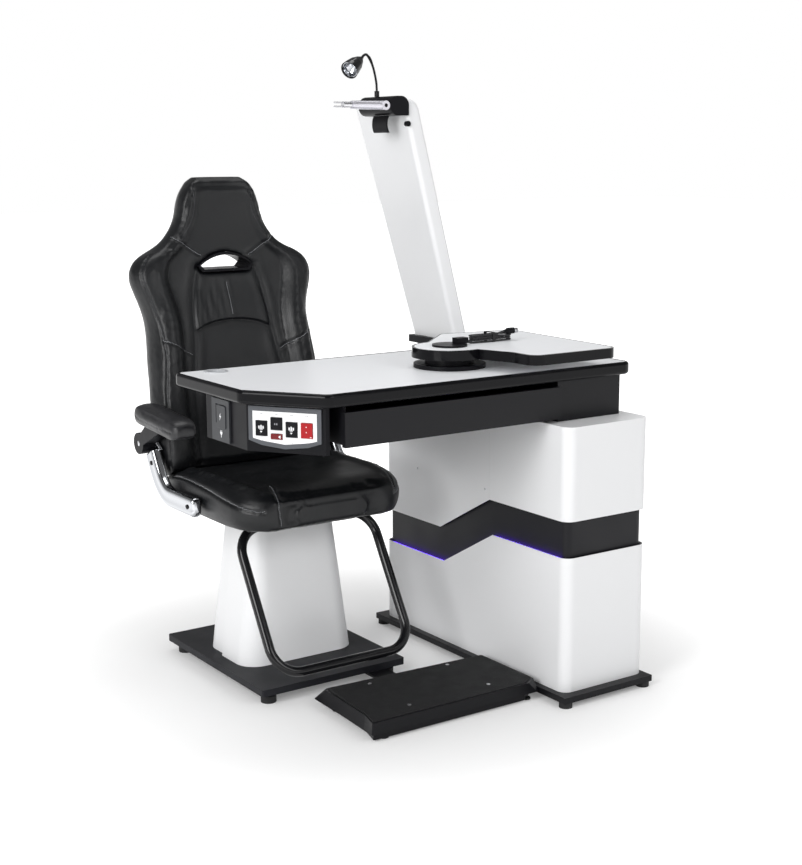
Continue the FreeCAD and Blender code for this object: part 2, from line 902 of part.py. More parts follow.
def make_cabinet_top():
    over = L.cut_overrun
    sheet_edge = L.shell_sheet
    outline = [
        (L.shell_front, L.up_bottom_front),
        (L.up_peak_y, L.up_bottom_front),
        (L.up_valley_y, L.up_bottom_back),
        (L.shell_back, L.up_bottom_back),
        (L.shell_back, L.cabinet_top),
        (L.shell_front, L.cabinet_top),
    ]
    outer = prism("upper_outer", "YZ", outline, L.shell_left, L.shell_right)
    round_edges(outer, L.shell_corner, lambda edge: is_along(edge, "Z"))
    hollow = make_shell_hollow("upper_hollow", L.up_bottom_back - over, L.cabinet_top - sheet_edge)
    shell = cut("upper_open", outer, hollow)

    gap = L.panel_gap
    back = L.shell_back - L.shell_corner
    high = L.cabinet_top - L.panel_top_margin
    window_outline = [
        (L.up_peak_y, L.up_bottom_front - over),
        (L.up_valley_y, L.up_bottom_back - over),
        (back, L.up_bottom_back - over),
        (back, high),
        (L.up_peak_y, high),
    ]
    window = prism("panel_window", "YZ", window_outline, L.shell_left - over, L.shell_left + sheet_edge)
    keep("upper_shell", cut("upper_shell", shell, window))
    panel_outline = [
        (L.up_peak_y + gap, L.up_bottom_front),
        (L.up_valley_y + gap, L.up_bottom_back),
        (back - gap, L.up_bottom_back),
        (back - gap, high - gap),
        (L.up_peak_y + gap, high - gap),
    ]
    panel = prism("service_panel", "YZ", panel_outline, L.shell_left, L.shell_left + sheet_edge)
    keep("service_panel", panel)

    inset = L.sleeve_gap + sheet_edge
    x = (L.shell_left + inset, L.shell_right - inset)
    y = (L.shell_front + inset, L.shell_back - inset)
    skin = L.sleeve_sheet
    corner = L.shell_corner - inset
    sleeve = prism(
        "sleeve_outer", "XY", rectangle(*x, *y), L.sleeve_bottom, L.sleeve_top, corner
    )
    flange = make_shell_hollow("sleeve_flange", L.sleeve_top - skin, L.sleeve_top)
    bore = prism(
        "sleeve_bore",
        "XY",
        rectangle(x[0] + skin, x[1] - skin, y[0] + skin, y[1] - skin),
        L.sleeve_bottom - over,
        L.sleeve_top + over,
        corner - skin,
    )
    keep("band_sleeve", cut("band_sleeve", fuse("sleeve_body", [sleeve, flange]), bore))


def table_outline(inset):
    """The table top's outline: a rectangle with its front left corner cut off at a slant."""
    lean = inset * 0.3
    return [
        (L.table_left + inset, L.chamfer_start_y + lean),
        (L.chamfer_end_x + lean, L.table_front + inset),
        (L.table_right - inset, L.table_front + inset),
        (L.table_right - inset, L.table_back - inset),
        (L.table_left + inset, L.table_back - inset),
    ]


def make_table():
    top = L.table_bottom + L.table_thickness
    over = L.cut_overrun
    width = L.band_width
    corner = L.table_corner
    slab = prism("slab", "XY", table_outline(width), L.table_bottom, top, corner - width)
    hole = cylinder(
        "grommet_hole_tool",
        L.grommet_hole,
        L.table_thickness + over * 2,
        L.grommet_x,
        L.grommet_y,
        L.table_bottom - over,
    )
    keep("table_top", cut("table_top", slab, hole))

    proud = L.band_proud
    low = L.table_bottom - proud
    high = top + proud
    band = prism("band_outer", "XY", table_outline(ZERO), low, high, corner)

    def outer_rim(edge):
        z = edge_middle(edge).z
        return min(abs(z - float(low)), abs(z - float(high))) < 0.01

    round_edges(band, L.band_round, outer_rim)
    inner = prism("band_inner", "XY", table_outline(width), low - over, high + over, corner - width)
    keep("table_edge", cut("table_edge", band, inner))

    wall = L.grommet_wall
    rim = cylinder(
        "grommet_rim_ring", L.grommet_rim, L.grommet_rim_height, L.grommet_x, L.grommet_y, top
    )
    barrel = cylinder(
        "grommet_barrel", L.grommet_hole, L.table_thickness, L.grommet_x, L.grommet_y, L.table_bottom
    )
    bore = cylinder(
        "grommet_bore",
        L.grommet_hole - wall,
        L.table_thickness + over * 2,
        L.grommet_x,
        L.grommet_y,
        L.table_bottom - over,
    )
    keep("cable_grommet", cut("cable_grommet", fuse("grommet_body", [rim, barrel]), bore))


def make_drawer():
    over = L.cut_overrun
    skin = L.housing_sheet
    x = (L.housing_left, L.housing_right)
    y = (L.housing_front, L.housing_back)
    z = (L.housing_bottom, L.table_bottom)
    outer = box("housing_outer", x, y, z)
    cavity = box(
        "housing_cavity",
        (x[0] + skin, x[1] - skin),
        (y[0] - over, y[1] - skin),
        (z[0] + skin, z[1] - skin),
    )
    keep("drawer_housing", cut("drawer_housing", outer, cavity))
    apron = box("apron_outer", (x[1], L.apron_right), y, (L.cabinet_top, z[1]))
    apron_cavity = box(
        "apron_cavity",
        (x[1] + skin, L.apron_right - skin),
        (y[0] + skin, y[1] - skin),
        (L.cabinet_top - over, z[1] - skin),
    )
    keep("apron_box", cut("apron_box", apron, apron_cavity))

    side_gap = L.drawer_side_gap
    rail = side_gap - L.rail_gap
    rail_y = (y[0] + L.rail_end_margin, y[1] - skin)
    rail_z = (L.rail_bottom, L.rail_bottom + L.rail_height)
    rails = [
        box("rail_left", (x[0] + skin, x[0] + skin + rail), rail_y, rail_z),
        box("rail_right", (x[1] - skin - rail, x[1] - skin), rail_y, rail_z),
    ]
    keep("drawer_rails", fuse("drawer_rails", rails))

    sheet_edge = L.drawer_sheet
    front_face = L.housing_front - skin
    tray_x = (x[0] + skin + side_gap, x[1] - skin - side_gap)
    tray_y = (front_face, front_face + L.drawer_depth)
    tray = box("tray_outer", tray_x, tray_y, (L.drawer_bottom, L.drawer_top))
    hollow = box(
        "tray_hollow",
        (tray_x[0] + sheet_edge, tray_x[1] - sheet_edge),
        (tray_y[0] + sheet_edge, tray_y[1] - sheet_edge),
        (L.drawer_bottom + sheet_edge, L.drawer_top + over),
    )
    keep("drawer_tray", cut("drawer_tray", tray, hollow))
    front = box(
        "drawer_front",
        (L.drawer_front_left, L.drawer_front_right),
        (front_face - L.drawer_front_thickness, front_face),
        (L.drawer_front_bottom, L.drawer_front_top),
    )
    keep("drawer_front", front)


def control_outline(inset):
    lean = inset * 0.45
    return [
        (L.control_left + inset, L.control_back - inset),
        (L.control_left + inset, L.control_chamfer_y + lean),
        (L.control_chamfer_x + lean, L.control_front + inset),
        (L.control_right - inset, L.control_front + inset),
        (L.control_right - inset, L.control_back - inset),
    ]


def panel_angle():
    """Direction of the switch panel's long side, in degrees about Z."""
    run = float(L.control_chamfer_x) - float(L.control_left)
    fall = float(L.control_front) - float(L.control_chamfer_y)
    return math.degrees(math.atan2(fall, run))


def on_panel(thing):
    """Place a piece drawn flat at the panel's lower left corner onto the slanted face."""
    turn = FreeCAD.Rotation(Vector(0, 0, 1), panel_angle())
    along = turn.multVec(Vector(1, 0, 0))
    thing.Placement = FreeCAD.Placement(Vector(), turn)
    bind(thing, "Placement.Base.x", L.control_left + L.bezel_offset * round(along.x, 6))
    bind(thing, "Placement.Base.y", L.control_chamfer_y + L.bezel_offset * round(along.y, 6))
    return thing


def bezel_outline(inset):
    """Straight top and sides with a shallow curved bottom, as four points and a sag."""
    width = L.bezel_width
    low = L.bezel_top - L.bezel_side_height
    sag = L.bezel_sag
    return [
        (inset, L.bezel_top - inset),
        (inset, low + inset * 0.5),
        (width * 0.18, low - sag * 0.62 + inset),
        (width * 0.5, low - sag + inset),
        (width * 0.82, low - sag * 0.62 + inset),
        (width - inset, low + inset * 0.5),
        (width - inset, L.bezel_top - inset),
    ]


def switch_places():
    """Name, left edge, top edge, width and height of each switch on the panel."""
    top = L.bezel_top
    first = L.switch_side_inset
    pitch = L.switch_pitch
    tall = L.switch_height
    return (
        ("chair_switch", first, top - L.switch_top_drop, tall),
        ("lamp_switch", first + pitch, top - L.lamp_switch_drop, L.lamp_switch_height),
        ("reading_switch", first + pitch, top - L.small_switch_drop, L.small_switch_height),
        ("table_switch", first + pitch * 2, top - L.switch_top_drop, tall),
        ("power_switch", first + pitch * 3, top - L.switch_top_drop, tall),
    )


def make_controls():
    over = L.cut_overrun
    wall = L.control_wall
    left_side = float(L.control_left + L.control_corner + wall)

    def on_left(edge):
        return edge_middle(edge).x < left_side

    shell = prism(
        "control_outer",
        "XY",
        control_outline(ZERO),
        L.control_bottom,
        L.table_bottom,
        L.control_corner,
        on_left,
    )
    hollow = prism(
        "control_hollow",
        "XY",
        control_outline(wall),
        L.control_bottom + wall,
        L.table_bottom + over,
        L.control_corner - wall,
        on_left,
    )
    open_shell = cut("control_open", shell, hollow)
    margin = L.face_margin
    low = L.bezel_top - L.bezel_side_height
    opening = on_panel(
        prism(
            "switch_opening",
            "XZ",
            rectangle(margin * 1.2, L.bezel_width - margin * 1.2, low, L.bezel_top - margin * 1.2),
            -over,
            wall * 4,
        )
    )
    keep("control_housing", cut("control_housing", open_shell, opening))

    bezel = on_panel(prism("bezel_plate", "XZ", bezel_outline(ZERO), -L.bezel_thickness, ZERO))
    face_hole = on_panel(
        prism("face_hole", "XZ", bezel_outline(margin), -L.bezel_thickness - over, over)
    )
    keep("panel_bezel", cut("panel_bezel", bezel, face_hole))

    face = on_panel(prism("face_plate", "XZ", bezel_outline(margin), -L.bezel_thickness, ZERO))
    width = L.switch_width
    holes = []
    for name, left, top, height in switch_places():
        outline = rectangle(left, left + width, top - height, top)
        hole = prism(name + "_hole", "XZ", outline, -L.bezel_thickness - over, over)
        holes.append(on_panel(hole))
        gap = L.switch_clearance
        outline = rectangle(left + gap, left + width - gap, top - height + gap, top - gap)
        front = -L.bezel_thickness - L.switch_proud
        keep(name, on_panel(prism(name, "XZ", outline, front, front + L.switch_depth)))
    keep("panel_face", cut("panel_face", face, fuse("switch_holes", holes)))

    plate = box(
        "socket_body",
        (L.control_left - L.socket_thickness, L.control_left),
        (L.socket_front, L.socket_back),
        (L.socket_bottom, L.socket_top),
    )
    depth = L.socket_back - L.socket_front
    height = L.socket_top - L.socket_bottom
    recess = box(
        "socket_recess_tool",
        (L.control_left - L.socket_thickness - over, L.control_left - L.socket_recess),
        (L.socket_front + depth * 0.2, L.socket_front + depth * 0.76),
        (L.socket_bottom + height * 0.42, L.socket_top - height * 0.12),
    )
    keep("socket_plate", cut("socket_plate", plate, recess))


def tray_shape(name, inset, low, high):
    """The tray's paddle shape: a round end on the turntable, joined to a wide board."""
    disc = cylinder(
        name + "_disc", L.tray_end_radius - inset, high - low, L.pivot_x, L.pivot_y, low
    )
    lean = inset * 0.4
    start = L.tray_end_radius * 0.23
    points = [
        (L.pivot_x + start, L.pivot_y - L.tray_end_radius + inset),
        (L.tray_neck_x + inset, L.tray_neck_y),
        (L.tray_neck_x + inset * 1.2, L.tray_front + inset),
        (L.tray_right - inset, L.tray_front + inset),
        (L.tray_right + L.tray_right_lean - inset, L.tray_back - inset),
        (L.tray_back_left_x - lean, L.tray_back + L.tray_back_rise - inset),
        (L.pivot_x, L.pivot_y + L.tray_end_radius - inset),
    ]
    board = prism(name + "_board", "XY", points, low, high)

    def outer_corner(edge):
        place = edge_middle(edge)
        return place.x > float(L.tray_neck_x) - float(L.tray_band) or place.y < float(L.tray_neck_y)

    round_edges(board, L.tray_corner - inset, lambda edge: is_along(edge, "Z") and outer_corner(edge))
    return fuse(name, [disc, board])


def make_tray():
    over = L.cut_overrun
    table_top = L.table_bottom + L.table_thickness
    high = L.tray_bottom + L.tray_thickness
    x = L.pivot_x
    y = L.pivot_y
    disc = cylinder("turntable_disc", L.turntable_radius, L.turntable_height, x, y, table_top)
    hub_top = L.tray_bottom - L.tray_lift_gap
    hub = cylinder("turntable_hub", L.hub_radius, hub_top - table_top, x, y, table_top)
    pin_length = hub_top - table_top + L.spindle_length
    pin = cylinder("turntable_pin", L.spindle_radius, pin_length, x, y, table_top)
    keep("turntable_base", fuse("turntable_base", [disc, hub, pin]))

    outer = tray_shape("paddle_outer", ZERO, L.tray_bottom, high)
    inner = tray_shape("paddle_inner", L.tray_band, L.tray_bottom, high)
    tool = tray_shape("paddle_tool", L.tray_band, L.tray_bottom - over, high + over)
    keep("tray_edge", cut("tray_edge", outer, tool))
    bore = cylinder(
        "spindle_bore",
        L.spindle_radius + L.running_gap,
        L.spindle_length + over,
        x,
        y,
        L.tray_bottom - over,
    )
    keep("tray_board", cut("tray_board", inner, bore))

    cap = cylinder("cap_disc", L.cap_radius, L.cap_height, x, y, high)
    start = x + L.outlet_offset
    half = L.outlet_width / 2
    cap_top = high + L.cap_height
    outlet = box(
        "cap_outlet",
        (start, start + L.outlet_length),
        (y - half, y + half),
        (cap_top, cap_top + L.outlet_height),
    )
    keep("tray_cap", fuse("tray_cap", [cap, outlet]))


def make_column():
    low = L.cabinet_top
    left = L.column_foot_x
    lean = L.column_lean
    width = L.column_width
    front = L.column_front
    back = front + L.column_depth_top
    outline = [
        (left, low),
        (left + width, low),
        (left - lean + width, L.column_top),
        (left - lean, L.column_top),
    ]
    body = prism("column_body", "XZ", outline, front, back)
    top = float(L.column_top)
    top_right = float(left - lean + width)
    shoulder_x = top_right - float(L.column_edge)

    def on_shoulder(edge):
        place = edge_middle(edge)
        return is_along(edge, "Y") and abs(place.z - top) < 0.01 and place.x > shoulder_x

    round_edges(body, L.column_shoulder, on_shoulder)
    front_y = float(front)

    def on_front_side(edge):
        place = edge_middle(edge)
        if not isinstance(edge.Curve, Part.Line) or abs(place.y - front_y) > 0.01:
            return False
        return abs(edge.tangentAt(edge.FirstParameter).z) > 0.5

    round_edges(body, L.column_edge, on_front_side)
    over = L.cut_overrun
    wedge = prism(
        "column_back_cut",
        "YZ",
        [
            (front + L.column_base_depth, low - over),
            (back + over, low - over),
            (back + over, L.column_top + over),
            (back, L.column_top + over),
        ],
        left - lean - over,
        left + width + over,
    )
    blade = cut("column_blade", body, wedge)

    wall = L.column_wall
    inner_top = L.column_top - L.column_shoulder
    share = round((inner_top - low).number / (L.column_top - low).number, 6)
    inner_outline = [
        (left + wall, low),
        (left + width - wall, low),
        (left - lean * share + width - wall, inner_top),
        (left - lean * share + wall, inner_top),
    ]
    inner = prism("column_inside", "XZ", inner_outline, front + L.column_edge, back)
    inner_wedge = prism(
        "column_inside_cut",
        "YZ",
        [
            (front + L.column_base_depth - wall, low - over),
            (back + over, low - over),
            (back + over, L.column_top + over),
            (back - wall, L.column_top + over),
        ],
        left - lean - over,
        left + width + over,
    )
    hollow = cut("column_hollow", inner, inner_wedge)
    pocket = cylinder(
        "button_pocket",
        L.button_radius + L.button_gap,
        L.button_length * 2,
        L.button_x,
        L.column_front - L.button_length,
        L.button_z,
        "Y",
    )
    column = cut("column", blade, fuse("column_voids", [hollow, pocket]))
    keep("column", column)

    button_y = L.column_front - L.button_proud
    button = cylinder(
        "lock_button", L.button_radius, L.button_length, L.button_x, button_y, L.button_z, "Y"
    )
    keep("lock_button", button)

    rise = (L.collar_bottom - L.cabinet_top).number / (L.column_top - L.cabinet_top).number
    left = L.column_foot_x - L.column_lean * round(rise, 6)
    margin = L.collar_margin
    collar = box(
        "collar_block",
        (left - margin * 1.4, left + L.column_width + margin),
        (L.table_back, front + L.column_base_depth + margin * 1.6),
        (L.collar_bottom, L.collar_bottom + L.collar_height),
    )
    keep("column_collar", cut("column_collar", collar, blade))
    return blade


def make_head(blade):
    outline = rectangle(L.head_left, L.head_right, L.head_bottom, L.head_bottom + L.head_height)
    right = float(L.head_right)
    low = float(L.head_bottom)

    def soft_corner(edge):
        place = edge_middle(edge)
        return not (abs(place.x - right) < 0.01 and abs(place.z - low) < 0.01)

    body = prism(
        "head_body", "XZ", outline, L.head_front, L.head_back, L.head_round, soft_corner
    )
    trimmed = cut("head_trimmed", body, blade)
    ear_y = (L.arm_axis_y + L.arm_radius + L.pivot_gap, L.arm_axis_y + L.arm_radius + L.ear_thickness)
    half = L.ear_half_height
    ear = box(
        "head_ear",
        (L.arm_axis_x - half, L.head_left + half),
        ear_y,
        (L.arm_axis_z - half, L.arm_axis_z + half),
    )
    pin = cylinder(
        "head_pin",
        L.arm_pin_radius,
        ear_y[0] - L.arm_axis_y + L.arm_radius,
        L.arm_axis_x,
        L.arm_axis_y - L.arm_radius,
        L.arm_axis_z,
        "Y",
    )
    keep("arm_head", fuse("arm_head", [trimmed, ear, pin]))

    root = cylinder(
        "arm_root",
        L.arm_radius,
        L.arm_radius * 2,
        L.arm_axis_x,
        L.arm_axis_y - L.arm_radius,
        L.arm_axis_z,
        "Y",
    )
    tube = doc.addObject("Part::Cone", "arm_cone")
    tube.Placement = FreeCAD.Placement(Vector(), FreeCAD.Rotation(Vector(0, 1, 0), -90))
    bind(tube, "Radius1", L.arm_radius)
    bind(tube, "Radius2", L.arm_end_radius)
    bind(tube, "Height", L.arm_length)
    move(tube, L.arm_axis_x, L.arm_axis_y, L.arm_axis_z)
    end = L.arm_axis_x - L.arm_length
    bore_start = end - L.cut_overrun
    bore = cylinder(
        "arm_bore_tool",
        L.arm_bore,
        L.inner_length + L.cut_overrun,
        bore_start,
        L.arm_axis_y,
        L.arm_axis_z,
        "X",
    )
    eye = cylinder(
        "arm_eye",
        L.arm_pin_radius + L.running_gap,
        L.arm_radius * 4,
        L.arm_axis_x,
        L.arm_axis_y - L.arm_radius * 2,
        L.arm_axis_z,
        "Y",
    )
    arm = fuse("arm_solid", [root, tube])
    keep("arm_tube", cut("arm_tube", arm, fuse("arm_holes", [bore, eye])))

    rod_start = end - L.inner_reach
    rod = cylinder(
        "arm_rod",
        L.arm_bore - L.running_gap,
        L.inner_length - L.cut_overrun + L.inner_reach - L.arm_pin_radius,
        rod_start,
        L.arm_axis_y,
        L.arm_axis_z,
        "X",
    )
    prongs = [
        cylinder(
            "arm_prong",
            L.prong_radius,
            L.prong_length + L.prong_radius,
            rod_start - L.prong_length,
            L.arm_axis_y,
            L.arm_axis_z + L.prong_spacing * side / 2,
            "X",
        )
        for side in (-1, 1)
    ]
    keep("arm_extension", fuse("arm_extension", [rod] + prongs))

    centre_z = L.head_bottom - L.grip_drop / 2
    width = L.grip_back - L.grip_front
    outer = cylinder(
        "grip_outer", L.grip_radius, width, L.grip_centre_x, L.grip_front, centre_z, "Y"
    )
    inner = cylinder(
        "grip_inner",
        L.grip_radius - L.grip_sheet,
        width,
        L.grip_centre_x,
        L.grip_front,
        centre_z,
        "Y",
    )
    ring = cut("grip_ring", outer, inner)
    slice_box = box(
        "grip_slice",
        (L.grip_centre_x - L.grip_radius * 2, L.grip_centre_x - L.grip_radius / 2),
        (L.grip_front, L.grip_back),
        (L.head_bottom - L.grip_drop, L.head_bottom),
    )
    keep("arm_grip", common("arm_grip", ring, slice_box))


def lamp_joint():
    """The place of the ball joint between gooseneck and shade."""
    rise = L.head_bottom + L.head_height + L.tray_lift_gap + L.lamp_joint_rise
    return L.lamp_x - L.lamp_joint_reach, L.lamp_y, rise


def place_along_shade(thing):
    """Move a piece turned about Z to the lamp's joint, with its top end towards the rim."""
    turn = math.radians(SHADE_TURN)
    dip = math.radians(SHADE_DIP)
    level = math.cos(dip)
    aim = Vector(math.cos(turn) * level, math.sin(turn) * level, -math.sin(dip))
    thing.Placement = FreeCAD.Placement(Vector(), FreeCAD.Rotation(Vector(0, 0, 1), aim))
    move(thing, *lamp_joint())


def make_lamp():
    head_top = float(L.head_bottom) + float(L.head_height)
    low = head_top + float(L.tray_lift_gap)
    foot = Vector(float(L.lamp_x), float(L.lamp_y), low)
    ferrule = Part.makeCylinder(float(L.ferrule_radius), float(L.ferrule_height), foot)
    joint = Vector(*[float(place) for place in lamp_joint()])
    rise = float(L.lamp_joint_rise) * NECK_PEAK
    drop = float(L.lamp_joint_reach)
    start = foot + Vector(0, 0, float(L.ferrule_height) / 2)
    points = [
        start,
        foot + Vector(-drop * 0.04, 0, rise * 0.36),
        foot + Vector(-drop * 0.26, 0, rise * 0.72),
        foot + Vector(-drop * 0.62, 0, rise * 0.98),
        foot + Vector(-drop * 0.82, 0, rise * 0.99),
        joint,
    ]
    curve = Part.BSplineCurve()
    curve.interpolate(points)
    path = Part.Wire([curve.toShape()])
    ring = Part.Circle(start, curve.tangent(0)[0], float(L.neck_radius)).toShape()
    neck = path.makePipeShell([Part.Wire([ring])], True, False)
    ball = Part.makeSphere(float(L.shade_start) - float(L.tray_lift_gap), joint)
    keep("lamp_neck", shape_feature("lamp_neck", ferrule.fuse([neck, ball])))

    span = L.shade_length
    start = L.shade_start
    body_span = span - start
    outer = [(L.shade_rim_radius * r, start + body_span * t) for t, r in SHADE_SHARES]
    wall = L.shade_wall
    inner = [(u - wall, v) for u, v in outer[1:]]
    floor = start + wall * 2
    outline = [(ZERO, start)] + outer + inner[::-1] + [(ZERO, floor + wall)]
    shade = turned("lamp_shade", outline)
    place_along_shade(shade)
    keep("lamp_shade", shade)

    rim = L.shade_rim_radius - wall
    depth = L.reflector_depth
    skin = L.reflector_wall
    mouth = span - skin * 3
    base = mouth - depth
    gap = L.lift_clearance * 3
    side = rim * 0.97 - gap
    bulb = L.bulb_radius
    dish = [
        (ZERO, base),
        (rim * 0.5, base),
        (side * 0.93, mouth - depth * 0.5),
        (side, mouth),
        (side - skin, mouth),
        (side * 0.93 - skin, mouth - depth * 0.5),
        (bulb, base + skin),
        (bulb, base + skin + bulb),
        (ZERO, base + skin + bulb * 1.4),
    ]
    reflector = turned("lamp_reflector", dish)
    place_along_shade(reflector)
    keep("lamp_reflector", reflector)


def make_seat():
    half = L.pan_half_width
    pan = box(
        "seat_pan",
        (L.chair_x - half, L.chair_x + half),
        (L.pan_front, L.pan_back),
        (L.pan_bottom, L.pan_bottom + L.pan_thickness),
    )
    keep("seat_pan", pan)

    low = Vector(0, float(L.footbar_low_y), float(L.footbar_low_z))
    high_z = float(L.pan_bottom) - float(L.footbar_radius)
    high = Vector(0, float(L.footbar_high_y), high_z)
    along = high - low
    length = along.Length
    half = float(L.footbar_half_width)
    corners = [(-half, 0.0), (half, 0.0), (half, length), (-half, length)]
    loop = rounded_wire(corners, [float(L.footbar_bend)] * 4, 0.0)
    turn = FreeCAD.Rotation(Vector(0, 1, 0), along)
    loop.Placement = FreeCAD.Placement(low + Vector(float(L.chair_x), 0, 0), turn)
    first = loop.Edges[1]
    start = first.valueAt(first.FirstParameter)
    ring = Part.Circle(start, first.tangentAt(first.FirstParameter), float(L.footbar_radius))
    path = Part.Wire(Part.__sortEdges__(loop.Edges[1:] + loop.Edges[:1]))
    bar = path.makePipeShell([Part.Wire([ring.toShape()])], True, False)
    keep("footbar", shape_feature("footbar", bar))


def bend(first, middle, last):
    """A smooth edge through three points, straight if they are in line."""
    curve = Part.BSplineCurve()
    curve.interpolate([first, middle, last])
    return curve.toShape()


def cushion_wire(y, half, middle, bolster, low):
    """One upright section of the seat: flat below, soft sides, and a dished top."""
    x = float(L.chair_x)
    soft = (bolster - low) * 0.30
    wing = half * 0.72
    top = (bolster + middle) / 2
    right = [
        Vector(x + half * 0.93, y, low),
        Vector(x + half, y, low + soft),
        Vector(x + half * 0.985, y, bolster - soft * 0.8),
    ]
    shoulder = [Vector(x + half * 0.90, y, bolster), Vector(x + wing, y, top + (bolster - top) * 0.4)]
    left = [Vector(2 * x - p.x, p.y, p.z) for p in right]
    left_shoulder = [Vector(2 * x - p.x, p.y, p.z) for p in shoulder]
    crown = Vector(x, y, middle)
    return Part.Wire(
        [
            Part.LineSegment(left[0], right[0]).toShape(),
            bend(right[0], right[1], right[2]),
            bend(right[2], shoulder[0], shoulder[1]),
            bend(shoulder[1], crown, left_shoulder[1]),
            bend(left_shoulder[1], left_shoulder[0], left[2]),
            bend(left[2], left[1], left[0]),
        ]
    )


def make_seat_cushion():
    base = float(L.pan_bottom + L.pan_thickness + L.seat_base_gap)
    height = float(L.seat_height)
    front = float(L.seat_front)
    depth = float(L.seat_back) - front
    half = float(L.seat_half_width - L.seat_side_gap)
    wires = []
    for place, width, middle, bolster, low in SEAT_SHARES:
        wires.append(
            cushion_wire(
                front + depth * place,
                half * width,
                base + height * middle,
                base + height * bolster,
                base + height * low,
            )
        )
    keep("seat_cushion", shape_feature("seat_cushion", Part.makeLoft(wires, True, False)))


def back_wire(z, half, front, rear, forward):
    """One level section of the backrest: flat rear, soft sides and forward bolsters."""
    x = float(L.chair_x)
    depth = rear - front
    right = [
        Vector(x + half * 0.90, rear, z),
        Vector(x + half, rear - depth * 0.45, z),
        Vector(x + half * 0.955, front - forward * 0.55, z),
    ]
    bolster = [
        Vector(x + half * 0.86, front - forward, z),
        Vector(x + half * 0.66, front, z),
    ]
    left = [Vector(2 * x - p.x, p.y, p.z) for p in right]
    left_bolster = [Vector(2 * x - p.x, p.y, p.z) for p in bolster]
    return Part.Wire(
        [
            Part.LineSegment(left[0], right[0]).toShape(),
            bend(right[0], right[1], right[2]),
            bend(right[2], bolster[0], bolster[1]),
            bend(bolster[1], Vector(x, front + depth * 0.04, z), left_bolster[1]),
            bend(left_bolster[1], left_bolster[0], left[2]),
            bend(left[2], left[1], left[0]),
        ]
    )


def handle_wire(inset, y):
    """The grab hole's outline: a low flat arc below and a high arc above."""
    x = float(L.chair_x)
    half = float(L.handle_half_width) - inset
    low = float(L.handle_bottom) + inset
    high = float(L.handle_bottom) + float(L.handle_height) - inset
    side = low + (high - low) * 0.30
    left = Vector(x - half, y, side)
    right = Vector(x + half, y, side)
    lower_left = Vector(x - half * 0.86, y, low)
    lower_right = Vector(x + half * 0.86, y, low)
    return Part.Wire(
        [
            Part.Arc(left, Vector(x, y, high), right).toShape(),
            Part.LineSegment(right, lower_right).toShape(),
            Part.LineSegment(lower_right, lower_left).toShape(),
            Part.LineSegment(lower_left, left).toShape(),
        ]
    )


def through_hole(inset, start, end):
    face = Part.Face(handle_wire(inset, start))
    return face.extrude(Vector(0, end - start, 0))


def make_backrest():
    low = float(L.back_bottom)
    height = float(L.back_top) - low
    rear_top = float(L.back_rear)
    depth = float(L.back_depth)
    lean = rear_top - float(L.pan_back) - float(L.pan_thickness) * 6
    wires = []
    for level, width, recline, bolster, thick in BACK_SHARES:
        front = rear_top - lean * (1 - recline) - depth * min(thick, BACK_LEAN_DEPTH)
        half = float(L.seat_half_width + L.back_overhang) * width
        rear = front + depth * thick
        wires.append(back_wire(low + height * level, half, front, rear, depth * bolster))
    back = Part.makeLoft(wires, True, False)
    cap_half = float(L.seat_half_width + L.back_overhang) * BACK_SHARES[-1][1]
    level = low + height * BACK_SHARES[-1][0]
    rear = rear_top
    front = rear - depth * 0.90
    crown = Part.makeLoft(
        [
            back_wire(level, cap_half, front, rear, depth * BACK_SHARES[-1][3]),
            back_wire(low + height, cap_half * 0.80, front + depth * 0.22, rear - depth * 0.18, 0.1),
        ],
        True,
        True,
    )
    body = back.fuse(crown)
    start = front - depth * 2
    end = rear + depth
    hole = through_hole(0.0, start, end)
    pad = body.cut(hole)
    keep("backrest", shape_feature("backrest", pad))

    wall = float(L.handle_rim)
    place = float(L.handle_bottom) + float(L.handle_height) / 2
    share = (place - low) / height
    below = [row for row in BACK_SHARES if row[0] <= share][-1]
    ring_rear = rear_top - lean * (1 - below[2]) + wall
    ring_front = ring_rear - depth * BACK_LEAN_DEPTH - wall * 2
    ring = through_hole(0.0, ring_front, ring_rear).cut(
        through_hole(wall, ring_front - wall, ring_rear + wall)
    )
    keep("handle_ring", shape_feature("handle_ring", ring))


def bracket_points():
    """The bent bar's outline in the side view, from its front end round to the pivot."""
    high = L.bracket_low_z + L.bracket_width
    return [
        (L.bracket_front, L.bracket_low_z),
        (L.bracket_elbow_y, L.bracket_low_z),
        (L.bracket_knee_y, L.bracket_knee_z),
        (L.bracket_top_y, L.bracket_top_z),
        (L.bracket_top_y - L.bracket_top_width, L.bracket_top_z + L.bracket_top_rise),
        (L.bracket_elbow_y - L.bracket_round / 2, high),
        (L.bracket_front, high),
    ]


